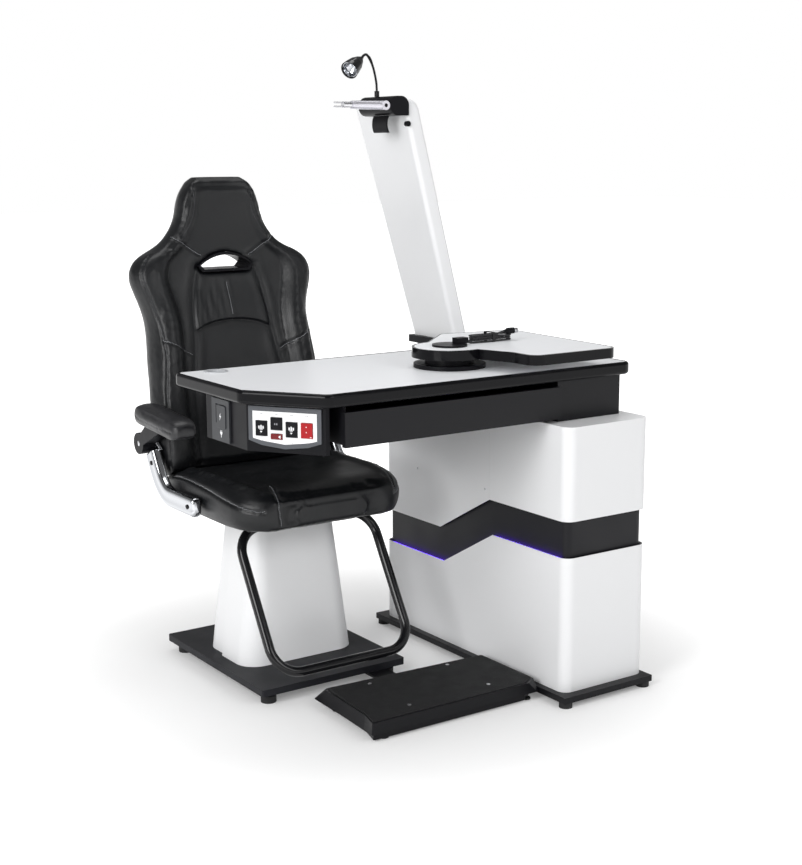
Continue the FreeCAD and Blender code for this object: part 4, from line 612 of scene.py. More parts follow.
def front_gathers(places):
    """Where the seat's front edge is creased: beside the short seam."""
    x = np.exp(-(((places[:, 0] - GATHERS_X[0]) / GATHERS_X[1]) ** 2))
    y = np.exp(-(((places[:, 1] - GATHERS_Y[0]) / GATHERS_Y[1]) ** 2))
    return x * y


crease(seat_cushion, 0.09, 0.9 * MM, 4)
seat_skin = skin_of(seat_cushion)
seat_runs = (seat_side_seam, mirrored(seat_side_seam, CHAIR_X), seat_front_seam, seat_arc_seam)
seat_seams = [lay_on(seat_skin, smooth_line(run)) for run in seat_runs]
sew(seat_cushion, seat_seams, 3.0 * MM, 2.0 * MM, 0.9 * MM, 0.2 * MM)
places = places_of(seat_cushion.data)
push(seat_cushion, np.sin(places[:, 0] / GATHER_STEP) * front_gathers(places) * GATHER_HEIGHT)
hold_seat()
print("seat cushion", len(seat_cushion.data.polygons), "faces")

# %% [markdown]
# The backrest is a bucket shape: a headrest, two wings that stand forward, and a lumbar pillow
# between them. All its panels meet in seams. The wings and their valleys are already in the solid,
# so the seams are laid by casting each place, given as seen from the front, back onto the skin.
# Both sides are sewn alike, so one side is written down and mirrored.

# %% The backrest
BACK_SIDE = 0.2576
BRACKET_TOP = 0.72
BACK_FOOT = 0.535
FOOT_REACH = 0.05
FOOT_HALF = 0.235
SEAT_REAR = 0.392
HOLE_FOOT = 1.047
HOLE_RADIUS = 0.1161
HOLE_CENTRE = 0.9849
HOLE_CORNER = (0.0852, 1.0636)
HOLE_SLOPE = (0.797, -0.603)

backrest = blank_of("backrest", "back_upholstery", 7 * MM, 0.6 * MM)
swell(backrest, 7 * MM)
refine(backrest)


def keep_off_brackets(piece):
    """Keep the back's lower sides between the two brackets, and its foot above the seat."""
    places = places_of(piece.data)
    low = places[:, 2] < BRACKET_TOP
    places[low, 0] = np.clip(places[low, 0], CHAIR_X - BACK_SIDE, CHAIR_X + BACK_SIDE)
    places[:, 2] = np.maximum(places[:, 2], BACK_FOOT)
    put_places(piece.data, places)


def keep_off_handle(piece):
    """Push the back's skin out of the grab hole: down, out past its arc, or past its slanted sides."""
    places = places_of(piece.data)
    across = places[:, 0] - CHAIR_X
    side = np.where(across < 0, -1.0, 1.0)
    from_centre = np.maximum(np.hypot(across, places[:, 2] - HOLE_CENTRE), 1e-6)
    room = np.stack([
        places[:, 2] - HOLE_FOOT,
        HOLE_RADIUS - from_centre,
        (HOLE_CORNER[0] - np.abs(across)) * HOLE_SLOPE[0] + (HOLE_CORNER[1] - places[:, 2]) * HOLE_SLOPE[1],
    ])
    nearest = room.argmin(axis=0)
    depth = room.min(axis=0)
    ways = np.stack([
        np.stack([np.zeros(len(places)), -np.ones(len(places))]),
        np.stack([across / from_centre, (places[:, 2] - HOLE_CENTRE) / from_centre]),
        np.stack([side * HOLE_SLOPE[0], np.full(len(places), HOLE_SLOPE[1])]),
    ])
    index = np.nonzero(depth > 0)[0]
    push = ways[nearest[index], :, index]
    places[index, 0] += push[:, 0] * depth[index]
    places[index, 2] += push[:, 1] * depth[index]
    put_places(piece.data, places)
    print(len(index), "points pushed out of the grab hole")


keep_off_brackets(backrest)
keep_off_handle(backrest)


def seen_from_front(skin, pairs):
    """Places on the front skin at (sideways, height) pairs in millimetres about the chair's middle."""
    found = []
    for sideways, height in pairs:
        start = Vector((CHAIR_X + sideways * MM, 0.0, height * MM))
        place, _, _, _ = skin.ray_cast(start, Vector((0, 1, 0)))
        if place is not None:
            found.append(place)
    return found


NECK_SEAM = [(155, 1143), (130, 1127), (105, 1111), (84, 1098), (74, 1093)]
STRIP_SEAM = [
    (205, 1112), (222, 1098), (247, 1075), (256, 1045), (249, 1011), (236, 963), (225, 911), (223, 877),
    (222, 841), (227, 790), (233, 746), (236, 690), (238, 640), (239, 590), (239, 550),
]
HEAD_STRIP_SEAM = [(98, 1285), (92, 1272), (88, 1245), (92, 1210), (107, 1178), (128, 1150)]
WING_CROSS_SEAM = [(224, 876), (205, 870), (178, 856), (155, 842), (137, 832)]
WING_EDGE_SEAM = [
    (84, 1068), (92, 1050), (106, 1000), (112, 950), (117, 895), (124, 840), (132, 790), (138, 740),
    (140, 700), (143, 650), (145, 600), (145, 550),
]
PILLOW_SEAM = [(-117, 891), (-90, 905), (-50, 914), (0, 918), (50, 914), (90, 905), (117, 893)]
MIDDLE_STITCH = [(-3, 1016), (-1, 985), (1, 950), (2, 921)]


def both_sides(pairs):
    return [pairs, [(-sideways, height) for sideways, height in pairs]]


back_skin = skin_of(backrest)
back_seams = {}
for title, runs in (
    ("neck", both_sides(NECK_SEAM)),
    ("strip", both_sides(STRIP_SEAM)),
    ("head_strip", both_sides(HEAD_STRIP_SEAM)),
    ("wing_cross", both_sides(WING_CROSS_SEAM)),
    ("wing_edge", both_sides(WING_EDGE_SEAM)),
    ("pillow", [PILLOW_SEAM]),
    ("middle", [MIDDLE_STITCH]),
):
    back_seams[title] = [lay_on(back_skin, smooth_line(seen_from_front(back_skin, pairs))) for pairs in runs]
print("back seams", {title: len(lines) for title, lines in back_seams.items()})

# %% [markdown]
# The pillow overlaps the panel below it like a flap. On the mesh that is a step: just above the
# seam the skin comes forward, just below it goes back, and both fade out with distance. The left
# half of the pillow has fine upright creases where its cover is pulled to the corner.

# %% The lumbar pillow
PILLOW_HALF = 0.116
PILLOW_FOOT = 0.918
PILLOW_TOP = 1.036
PILLOW_CROWN = 6.5
PILLOW_TUCK = 2.5
PILLOW_PULLS = 0.45


def pillow_seam_height(sideways):
    """How high the pillow's lower seam lies at a distance from the middle."""
    share = np.clip(np.abs(sideways) / PILLOW_HALF, 0, 1.1)
    return PILLOW_FOOT - 0.027 * share ** 2.6


def smooth_step(values, low, high):
    share = np.clip((values - low) / (high - low), 0, 1)
    return share * share * (3 - 2 * share)


places = places_of(backrest.data)
normals = normals_of(backrest.data)
sideways = places[:, 0] - CHAIR_X
front = smooth_step(-normals[:, 1], 0.15, 0.6)
valley = 0.088 + 0.026 * smooth_step(1.06 - places[:, 2], 0.0, 0.14)
inside = 1 - smooth_step(np.abs(sideways), valley - 0.012, valley + 0.004)
above = places[:, 2] - pillow_seam_height(sideways)
fading = smooth_step(above, 0.02, PILLOW_TOP - PILLOW_FOOT + 0.012) * 0.72
crown = smooth_step(above, 0.0, 4 * MM) * (1 - fading)
crown *= 1 - smooth_step(places[:, 2], PILLOW_TOP - 0.006, PILLOW_TOP + 0.012)
tuck = np.exp(-((above / 0.016) ** 2)) * (above < 0)
left = smooth_step(-sideways, -0.005, 0.05)
crease_lines = np.sin(sideways / (4.4 * MM) + above * 42) + 0.6 * np.sin(sideways / (2.7 * MM) - above * 30)
pulls = crease_lines * left * np.exp(-(((above - 0.045) / 0.045) ** 2)) * (above > 0) * PILLOW_PULLS * MM
forward = (crown * PILLOW_CROWN * MM - tuck * PILLOW_TUCK * MM + pulls) * inside * front
places[:, 1] -= forward
put_places(backrest.data, places)
print("pillow stands", round(float(forward.max()) / MM, 1), "mm proud")

# %% [markdown]
# Now the seams are pressed in. The valley beside the wings is deep and soft, the seams that join
# flat panels are narrow, and the side strips gather more, because leather is stretched round them.

# %% Sew the backrest
crease(backrest, 0.12, 0.8 * MM, 7)


def strip_gathers(places):
    """The side strips, where the cover is stretched round the frame."""
    edge = smooth_step(np.abs(places[:, 0] - CHAIR_X), 0.075, 0.1) * smooth_step(places[:, 2], 1.13, 1.17)
    lower = smooth_step(np.abs(places[:, 0] - CHAIR_X), 0.2, 0.235) * (1 - smooth_step(places[:, 2], 1.06, 1.1))
    return np.clip(edge + lower, 0, 1)


crease(backrest, 0.012, 0.4 * MM, 11, strip_gathers)
sew(backrest, back_seams["wing_edge"], 5.5 * MM, 2.6 * MM, 1.0 * MM, 0.15 * MM, 17 * MM)
sew(backrest, back_seams["strip"] + back_seams["head_strip"], 3.0 * MM, 1.8 * MM, 0.8 * MM, 0.35 * MM, 11 * MM)
sew(backrest, back_seams["neck"] + back_seams["wing_cross"], 2.6 * MM, 2.0 * MM, 0.5 * MM, 0.15 * MM)
sew(backrest, back_seams["pillow"], 2.6 * MM, 2.0 * MM, 0.5 * MM, 0.3 * MM, 9 * MM)
sew(backrest, back_seams["middle"], 2.6 * MM, 1.4 * MM, 0.5 * MM)
keep_off_brackets(backrest)
keep_off_handle(backrest)


def rest_on_seat(piece, skin):
    """Let the back's foot down onto the dished seat, so that no light shows under it."""
    places = places_of(piece.data)
    dropped = 0.0
    for number in np.nonzero(places[:, 2] < BACK_FOOT + FOOT_REACH)[0]:
        x, y, z = places[number]
        inward = np.clip(x, CHAIR_X - FOOT_HALF, CHAIR_X + FOOT_HALF)
        place, _, _, _ = skin.ray_cast(Vector((inward, min(y, SEAT_REAR), 0.8)), Vector((0, 0, -1)))
        if place is not None and place.z < BACK_FOOT:
            share = smooth_step(BACK_FOOT + FOOT_REACH - z, 0.0, FOOT_REACH)
            places[number, 2] -= (BACK_FOOT + PAD_SINK - place.z) * share
            dropped = max(dropped, BACK_FOOT - place.z)
    put_places(piece.data, places)
    print("the back's foot comes down by up to", round(dropped / MM, 1), "mm")


rest_on_seat(backrest, seat_skin)
print("backrest", len(backrest.data.polygons), "faces")

# %% [markdown]
# The arm pads are soft too, but firm: moulded foam in a leather-look skin on a hard core. They swell
# by a few millimetres only, and one seam runs along each side, low down, where the skin is folded
# under the core.

# %% The arm pads
arm_pads = {}
for side in ("left", "right"):
    node = side + "_arm_pad"
    low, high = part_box(node)
    pad = blank_of(node, side + "_arm_cushion", 4 * MM, 0.8 * MM)
    swell(pad, 4 * MM)
    refine(pad)
    crease(pad, 0.05, 0.9 * MM, 3 if side == "left" else 9)
    arm_pads[side] = pad
    print(node, [round(v, 3) for v in low], [round(v, 3) for v in high], len(pad.data.polygons), "faces")


def pad_seam(side, skin):
    """A line along the outer side of an arm pad, two fifths of the way up."""
    low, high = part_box(side + "_arm_pad")
    outer = -1 if side == "left" else 1
    edge = low[0] if side == "left" else high[0]
    found = []
    for step in range(15):
        share = step / 14
        y = high[1] - 0.03 - share * (high[1] - low[1] - 0.05)
        column = []
        for level in range(24):
            z = low[2] + (high[2] - low[2]) * (level + 0.5) / 24
            place, _, _, _ = skin.ray_cast(Vector((edge + outer * 0.1, y, z)), Vector((-outer, 0, 0)))
            if place is not None:
                column.append(place)
        if column:
            found.append(column[len(column) * 2 // 5])
    return smooth_line(found)


pad_seams = {}
for side, pad in arm_pads.items():
    skin = skin_of(pad)
    pad_seams[side] = lay_on(skin, pad_seam(side, skin))
    sew(pad, [pad_seams[side]], 2.2 * MM, 1.5 * MM, 0.6 * MM, 0.2 * MM)

# %% [markdown]
# Stitches repeat along a path, which is work for Geometry Nodes. The tree turns a line into a
# curve, spaces points along it, puts one small stitch at each with its long side along the line,
# and makes them real. Spacing, length and thread thickness are inputs, so that one tree serves every
# seam. A stitch is a stretched ball, which dips into the leather at both ends as thread does.

# %% The tree that sews stitches
def tools_of(tree):
    """Two tools for a tree: one adds a node and fills its inputs, one links sockets row by row."""
    def add(kind, values=()):
        node = tree.nodes.new(kind)
        for label, value in dict(values).items():
            node.inputs[label].default_value = value
        return node

    def link(*rows):
        for source, output, target, entry in rows:
            tree.links.new(source.outputs[output], target.inputs[entry])

    return add, link


def new_tree(name, inputs):
    """A geometry tree with its inputs, the two tools for it and its first node."""
    tree = bpy.data.node_groups.new(name, "GeometryNodeTree")
    tree.is_modifier = True
    tree.interface.new_socket("Geometry", in_out="INPUT", socket_type="NodeSocketGeometry")
    for label, kind, value in (*inputs, ("Finish", "NodeSocketMaterial", None)):
        socket = tree.interface.new_socket(label, in_out="INPUT", socket_type=kind)
        if value is not None:
            socket.default_value = value
    tree.interface.new_socket("Geometry", in_out="OUTPUT", socket_type="NodeSocketGeometry")
    add, link = tools_of(tree)
    return tree, add, link, add("NodeGroupInput")


def spaced_points(add, link, start):
    """Points along the given line, one at every pitch."""
    curve = add("GeometryNodeMeshToCurve")
    spaced = add("GeometryNodeResampleCurve")
    spaced.mode = "LENGTH"
    link((start, "Geometry", curve, "Mesh"), (curve, "Curve", spaced, "Curve"))
    link((start, "Pitch", spaced, "Length"))
    return spaced, "Curve"


def copies(add, link, points, shape, way):
    """A copy of a shape on every point, turned along a way. Each is a node and one of its outputs."""
    turn = add("FunctionNodeAlignRotationToVector")
    turn.axis = "Z"
    put = add("GeometryNodeInstanceOnPoints")
    link((*way, turn, "Vector"), (*points, put, "Points"), (*shape, put, "Instance"))
    link((turn, "Rotation", put, "Rotation"))
    return put, "Instances"


def finish_tree(tree, made, start):
    """Make the copies real, shade them smooth and give them the Finish input."""
    add, link = tools_of(tree)
    real = add("GeometryNodeRealizeInstances")
    smooth = add("GeometryNodeSetShadeSmooth")
    coat = add("GeometryNodeSetMaterial")
    end = add("NodeGroupOutput")
    link((*made, real, "Geometry"), (real, "Geometry", smooth, "Geometry"))
    link((smooth, "Geometry", coat, "Geometry"), (start, "Finish", coat, "Material"))
    link((coat, "Geometry", end, "Geometry"))
    return tree


def stitch_tree():
    tree, add, link, start = new_tree("stitches", (
        ("Pitch", "NodeSocketFloat", 5.5 * MM),
        ("Length", "NodeSocketFloat", 4 * MM),
        ("Thread", "NodeSocketFloat", 0.45 * MM),
    ))
    ball = add("GeometryNodeMeshUVSphere", {"Segments": 6, "Rings": 5, "Radius": 1})
    half = add("ShaderNodeMath", {1: 0.5})
    half.operation = "MULTIPLY"
    size = add("ShaderNodeCombineXYZ")
    stretched = add("GeometryNodeTransform")
    link(
        (start, "Length", half, 0), (start, "Thread", size, "X"), (start, "Thread", size, "Y"),
        (half, 0, size, "Z"), (ball, "Mesh", stretched, "Geometry"), (size, "Vector", stretched, "Scale"),
    )
    way = (add("GeometryNodeInputTangent"), "Tangent")
    put = copies(add, link, spaced_points(add, link, start), (stretched, "Geometry"), way)
    return finish_tree(tree, put, start)


def line_mesh(name, lines):
    """A mesh of edges only, one chain for each line."""
    data = bpy.data.meshes.new(name)
    points, edges = [], []
    for line in lines:
        first = len(points)
        points += [tuple(p) for p in line]
        edges += [(first + n, first + n + 1) for n in range(len(line) - 1)]
    data.from_pydata(points, edges, [])
    return add_object(name, data)


def grow(piece, tree, **values):
    """Run a tree on a piece with the inputs given by name, then keep the plain mesh."""
    maker = piece.modifiers.new(tree.name, "NODES")
    maker.node_group = tree
    for item in tree.interface.items_tree:
        label = item.name.lower().replace(" ", "_")
        if item.in_out == "INPUT" and label in values:
            maker[item.identifier] = values[label]
    return plain(piece)


sewing = stitch_tree()
print("stitch tree has", len(sewing.nodes), "nodes")

# %% [markdown]
# A finish is more than a colour. Real paint has a fine orange peel, plastic a moulded grain, leather
# pores and creases, and each varies a little in colour and in how polished it is. All patterns read
# object coordinates, so they keep their scale on every piece and move with it. What is the same all
# over, such as metalness, is set on the shader itself.

# %% The finish maker
def make_finish(
    name, colour, rough, spread=0.06, uneven=0.06, cloud=0.05, grain=1.5 * MM, bump=0.05,
    metal=0.0, specular=0.5, coat=0.0,
):
    """A material with clouds in its colour, patches in its polish and a fine raised grain."""
    material = bpy.data.materials.new(name)
    material.use_nodes = True
    add, link = tools_of(material.node_tree)
    shader = material.node_tree.nodes["Principled BSDF"]
    shader.inputs["Metallic"].default_value = metal
    shader.inputs["Specular IOR Level"].default_value = specular
    shader.inputs["Coat Weight"].default_value = coat
    shader.inputs["Coat Roughness"].default_value = 0.08
    where = add("ShaderNodeTexCoord")
    clouds = add("ShaderNodeTexNoise", {"Scale": 1 / cloud, "Detail": 4})
    tone = add("ShaderNodeMix")
    tone.data_type = "RGBA"
    tone.inputs["A"].default_value = (*(c * (1 - uneven) for c in colour), 1)
    tone.inputs["B"].default_value = (*(min(1.0, c * (1 + uneven)) for c in colour), 1)
    low, high = max(0.02, rough - spread), rough + spread
    polish = add("ShaderNodeMapRange", {"From Min": 0.3, "From Max": 0.7, "To Min": low, "To Max": high})
    fine = add("ShaderNodeTexNoise", {"Scale": 1 / grain, "Detail": 3})
    raised = add("ShaderNodeBump", {"Strength": bump, "Distance": grain / 3})
    link(
        (where, "Object", clouds, "Vector"), (where, "Object", fine, "Vector"),
        (clouds, "Fac", tone, "Factor"), (clouds, "Fac", polish, "Value"),
        (tone, "Result", shader, "Base Color"), (polish, "Result", shader, "Roughness"),
        (fine, "Fac", raised, "Height"), (raised, "Normal", shader, "Normal"),
    )
    return material


def node_of(material, kind):
    return next(node for node in material.node_tree.nodes if node.type == kind)


def make_leather(name, colour, rough):
    """Black upholstery leather: pores between small cells, broad creases, worn sheen."""
    material = make_finish(name, colour, rough, 0.07, 0.25, 0.09, 0.9 * MM, 0.08, specular=0.31)
    shader, where, fine = (node_of(material, kind) for kind in ("BSDF_PRINCIPLED", "TEX_COORD", "BUMP"))
    add, link = tools_of(material.node_tree)
    cells = add("ShaderNodeTexVoronoi")
    cells.feature = "DISTANCE_TO_EDGE"
    cells.inputs["Scale"].default_value = 1 / (1.7 * MM)
    cells.inputs["Randomness"].default_value = 1
    pores = add("ShaderNodeMapRange", {"From Max": 0.16})
    grainy = add("ShaderNodeBump", {"Strength": 0.16, "Distance": 0.3 * MM})
    folds = add("ShaderNodeTexNoise", {"Scale": 55, "Detail": 5, "Distortion": 0.8})
    creased = add("ShaderNodeBump", {"Strength": 0.05, "Distance": 2 * MM})
    link(
        (where, "Object", cells, "Vector"), (where, "Object", folds, "Vector"),
        (cells, "Distance", pores, "Value"), (pores, "Result", grainy, "Height"),
        (fine, "Normal", grainy, "Normal"), (folds, "Fac", creased, "Height"),
        (grainy, "Normal", creased, "Normal"), (creased, "Normal", shader, "Normal"),
    )
    return material


def make_glow(name, colour, strength):
    """The light strip: a tinted diffuser, a little brighter in places, lit from behind."""
    material = make_finish(name, colour, 0.4, cloud=0.02)
    shader = node_of(material, "BSDF_PRINCIPLED")
    material.node_tree.links.new(node_of(material, "MIX").outputs["Result"], shader.inputs["Emission Color"])
    shader.inputs["Emission Strength"].default_value = strength
    return material


# %% [markdown]
# Each finish is named for what it coats on this unit. The colours were judged against the
# photograph under plain light: the blacks differ from each other in gloss far more than in colour.
# A row gives slot, name, colour, roughness and its spread, unevenness and size of the clouds in the
# colour, size of the grain in millimetres and its height, and whatever else is set.

# %% Finishes by material slot
FINISH_ROWS = (
    ("white_paint", "white_enamel", (0.83, 0.835, 0.845), 0.34, 0.05, 0.012, 0.3, 2.2, 0.05, {}),
    ("dark_paint", "slate_powder_coat", (0.012, 0.0125, 0.016), 0.5, 0.06, 0.1, 0.12, 0.8, 0.18,
     {"specular": 0.22}),
    ("black_paint", "black_enamel", (0.006, 0.006, 0.0075), 0.34, 0.06, 0.12, 0.1, 1.2, 0.08,
     {"specular": 0.18}),
    ("gloss_black_paint", "black_gloss_enamel", (0.007, 0.007, 0.008), 0.16, 0.04, 0.1, 0.1, 2, 0.03,
     {"specular": 0.3, "coat": 0.1}),
    ("lift_metal", "lift_aluminium", (0.62, 0.63, 0.65), 0.32, 0.06, 0.04, 0.05, 0.5, 0.06, {"metal": 1.0}),
    ("rubber_black", "foot_rubber", (0.016, 0.016, 0.017), 0.68, 0.08, 0.15, 0.02, 0.7, 0.3,
     {"specular": 0.35}),
    ("ribbed_mat", "mat_rubber", (0.014, 0.014, 0.015), 0.66, 0.1, 0.25, 0.05, 0.8, 0.4,
     {"specular": 0.35}),
    ("steel", "brushed_steel", (0.62, 0.62, 0.64), 0.26, 0.07, 0.05, 0.02, 0.4, 0.1, {"metal": 1.0}),
    ("black_sleeve", "sleeve_plastic", (0.007, 0.007, 0.009), 0.42, 0.06, 0.12, 0.12, 0.9, 0.12,
     {"specular": 0.2}),
    ("table_laminate", "table_laminate", (0.74, 0.75, 0.77), 0.36, 0.05, 0.025, 0.006, 0.6, 0.05, {}),
    ("black_edge", "gloss_edge_band", (0.004, 0.004, 0.005), 0.12, 0.04, 0.1, 0.04, 6, 0.05,
     {"specular": 0.12, "coat": 0.03}),
    ("grey_plastic", "panel_grey_plastic", (0.075, 0.08, 0.09), 0.42, 0.05, 0.06, 0.06, 0.8, 0.12,
     {"specular": 0.3}),
    ("white_plastic", "switch_plate_white", (0.84, 0.845, 0.85), 0.2, 0.04, 0.015, 0.05, 1.5, 0.03, {}),
    ("black_plastic", "moulded_black_plastic", (0.006, 0.006, 0.0075), 0.36, 0.06, 0.12, 0.06, 0.7, 0.14,
     {"specular": 0.09}),
    ("red_plastic", "power_rocker_red", (0.36, 0.006, 0.010), 0.22, 0.04, 0.06, 0.01, 1, 0.04,
     {"specular": 0.25}),
    ("dark_red_plastic", "reading_rocker_red", (0.15, 0.008, 0.010), 0.24, 0.04, 0.08, 0.01, 1, 0.04,
     {"specular": 0.25}),
    ("silver_paint", "arm_silver", (0.62, 0.61, 0.66), 0.3, 0.05, 0.03, 0.05, 0.6, 0.06, {"metal": 0.75}),
    ("chrome", "bracket_chrome", (0.47, 0.48, 0.50), 0.14, 0.04, 0.02, 0.06, 9, 0.03, {"metal": 1.0}),
    ("pad_rubber", "arm_pad_skin", (0.010, 0.010, 0.012), 0.44, 0.08, 0.2, 0.05, 1.1, 0.2,
     {"specular": 0.45}),
)
FINISHES = {
    "led_glow": make_glow("violet_light_strip", (0.17, 0.06, 0.95), 7.0),
    "black_leather": make_leather("black_upholstery_leather", (0.0055, 0.006, 0.007), 0.36),
}
for slot, name, colour, rough, spread, uneven, cloud, grain, bump, rest in FINISH_ROWS:
    FINISHES[slot] = make_finish(name, colour, rough, spread, uneven, cloud, grain * MM, bump, **rest)
THREAD = make_finish("seam_thread", (0.42, 0.43, 0.46), 0.6, 0.08, 0.12, 2 * MM, 0.3 * MM, 0.3)
DARK_THREAD = make_finish("dark_seam_thread", (0.05, 0.052, 0.06), 0.6, 0.08, 0.12, 2 * MM, 0.3 * MM, 0.3)
INK = make_finish("switch_mark_white", (0.8, 0.8, 0.82), 0.4, 0.05, 0.03, 1 * MM, 0.3 * MM, 0.05)
GREY_INK = make_finish("panel_mark_grey", (0.3, 0.3, 0.33), 0.5, 0.05, 0.05, 1 * MM, 0.3 * MM, 0.05)
LEAD_SKIN = make_finish("lead_cable_skin", (0.012, 0.012, 0.014), 0.36, 0.06, 0.15, 0.02, 0.5 * MM, 0.12)
RING_SILVER = make_finish("cable_ring_silver", (0.46, 0.47, 0.49), 0.3, 0.05, 0.04, 0.02, 0.6 * MM, 0.06)
SOCKET_GREY = make_finish(
    "socket_dark_grey", (0.030, 0.032, 0.036), 0.4, 0.05, 0.08, 0.06, 0.8 * MM, 0.12, specular=0.25
)


def coat_with(piece, material):
    piece.data.materials.clear()
    piece.data.materials.append(material)
    return piece


slot_of = {row["node"]: row["material_slot"] for row in frame["record"]["subparts"]}
for node, piece in frame["nodes"].items():
    finish = FINISHES[slot_of[node]]
    if piece.material_slots:
        for place in piece.material_slots:
            place.material = finish
    else:
        piece.data.materials.append(finish)
frame["nodes"]["cable_grommet"].data.materials[0] = RING_SILVER
frame["nodes"]["socket_plate"].data.materials[0] = SOCKET_GREY
print(len(FINISHES), "finishes on", len(frame["nodes"]), "nodes")

# %% [markdown]
# The pads and the lead get their finishes and are tied to their bodies. A soft or wound solid is
# never shown itself: each pad and the lead hide the solid that they stand for.

for piece, node, body, fill in (
    (seat_cushion, "seat_cushion", "seat", 0.8),
    (backrest, "backrest", "seat", 0.8),
    (arm_pads["left"], "left_arm_pad", "left_armrest", 0.95),
    (arm_pads["right"], "right_arm_pad", "right_armrest", 0.95),
):
    coat_with(piece, FINISHES[slot_of[node]])
    settle(piece, body, slot_of[node], node)

for piece, material, slot in (
    (lead_sleeve, LEAD_SKIN, "rubber_black"),
    (plug_handle, FINISHES["black_plastic"], "black_plastic"),
    (plug_nose, FINISHES["steel"], "steel"),
    (lead_strap, FINISHES["rubber_black"], "rubber_black"),
):
    coat_with(piece, material)
    settle(piece, "tray", slot)
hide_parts("lead_plug")
coat_with(lead, LEAD_SKIN)
settle(lead, "tray", "rubber_black", "lead_hank")

# %% [markdown]
# Thread is laid beside each seam, a little proud of the skin. The seat's seams and the pillow's
# middle show light thread. The others are sewn in dark thread, which only shows in close views.

# %% Stitch the seams
def stitch(name, pad, seams, offset, thread, pitch=5.5 * MM):
    skin = skin_of(pad)
    lines = [beside(skin, seam, offset, 0.15 * MM) for seam in seams]
    sizes = {"pitch": pitch, "length": pitch * 0.72, "thread": 0.5 * MM}
    return grow(line_mesh(name, lines), sewing, finish=thread, **sizes)


near_strip = back_seams["strip"][:1] + back_seams["head_strip"][:1]
far_strip = back_seams["strip"][1:] + back_seams["head_strip"][1:]
for name, pad, seams, offset, thread in (
    ("seat_side_stitches", seat_cushion, seat_seams[:2], 2.6 * MM, THREAD),
    ("seat_front_stitches", seat_cushion, seat_seams[2:], 2.0 * MM, THREAD),
    ("pillow_stitches", backrest, back_seams["middle"], 0.0, THREAD),
    ("strip_stitches", backrest, near_strip, -3.2 * MM, DARK_THREAD),
    ("far_strip_stitches", backrest, far_strip, 3.2 * MM, DARK_THREAD),
    ("wing_stitches", backrest, back_seams["wing_cross"] + back_seams["neck"], 2.4 * MM, THREAD),
):
    piece = settle(stitch(name, pad, seams, offset, thread), "seat", "black_leather")
    print(piece.name, len(piece.data.polygons), "faces")
for side, pad in arm_pads.items():
    piece = stitch(side + "_arm_stitches", pad, [pad_seams[side]], 1.8 * MM, DARK_THREAD, 4.5 * MM)
    settle(piece, side + "_armrest", "pad_rubber")

# %% [markdown]
# The mat on the footboard has low ribs so that shoes grip. One tree sweeps a small round profile
# along straight lines, which are cut to the mat's clipped outline by casting rays down onto it.

# %% The mat's ribs
RIB_PITCH = 4.5 * MM
RIB_RADIUS = 0.9 * MM


def rib_tree():
    tree, add, link, start = new_tree("ribs", (("Radius", "NodeSocketFloat", 1 * MM),))
    curve = add("GeometryNodeMeshToCurve")
    circle = add("GeometryNodeCurvePrimitiveCircle", {"Resolution": 8})
    swept = add("GeometryNodeCurveToMesh", {"Fill Caps": True})
    link(
        (start, "Geometry", curve, "Mesh"), (start, "Radius", circle, "Radius"),
        (curve, "Curve", swept, "Curve"), (circle, "Curve", swept, "Profile Curve"),
    )
    return finish_tree(tree, (swept, "Mesh"), start)


def mat_lines():
    """The stretches of mat along the board, each a little inside its edge."""
    low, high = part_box("footboard_mat")
    skin = skin_of(frame["nodes"]["footboard_mat"])
    lines = []
    for row in range(1, int((high[1] - low[1]) / RIB_PITCH)):
        y = low[1] + row * RIB_PITCH
        hits = []
        for step in range(int((high[0] - low[0]) / (2 * MM))):
            x = low[0] + step * 2 * MM
            place, _, _, _ = skin.ray_cast(Vector((x, y, high[2] + 0.01)), Vector((0, 0, -1)))
            if place is not None and place.z > high[2] - 0.5 * MM:
                hits.append(place)
        if len(hits) > 6:
            lines.append([hit + Vector((0, 0, -0.3 * MM)) for hit in (hits[2], hits[-3])])
    return lines


rib_lines = mat_lines()
mat_ribs = grow(line_mesh("mat_ribs", rib_lines), rib_tree(), radius=RIB_RADIUS, finish=FINISHES["ribbed_mat"])
settle(mat_ribs, "base", "ribbed_mat")
print(len(rib_lines), "ribs,", len(mat_ribs.data.polygons), "faces")

# %% [markdown]
# The gooseneck is a steel strip wound into a flexible tube, so its outside is a row of fine rings.
# The tree puts a ring at every turn of the strip along the neck's own line.

# %% The gooseneck's rings
NECK_Y = 0.176
NECK_ROUTE = [(0.148, 1.5188), (0.146, 1.550), (0.136, 1.589), (0.119, 1.617), (0.1095, 1.618), (0.101, 1.610)]


def ring_tree():
    tree, add, link, start = new_tree("rings", (
        ("Pitch", "NodeSocketFloat", 2 * MM),
        ("Radius", "NodeSocketFloat", 3 * MM),
        ("Wire", "NodeSocketFloat", 0.7 * MM),
    ))
    circle = add("GeometryNodeCurvePrimitiveCircle", {"Resolution": 18})
    wire = add("GeometryNodeCurvePrimitiveCircle", {"Resolution": 6})
    ring = add("GeometryNodeCurveToMesh")
    link(
        (start, "Radius", circle, "Radius"), (start, "Wire", wire, "Radius"),
        (circle, "Curve", ring, "Curve"), (wire, "Curve", ring, "Profile Curve"),
    )
    way = (add("GeometryNodeInputTangent"), "Tangent")
    put = copies(add, link, spaced_points(add, link, start), (ring, "Mesh"), way)
    return finish_tree(tree, put, start)


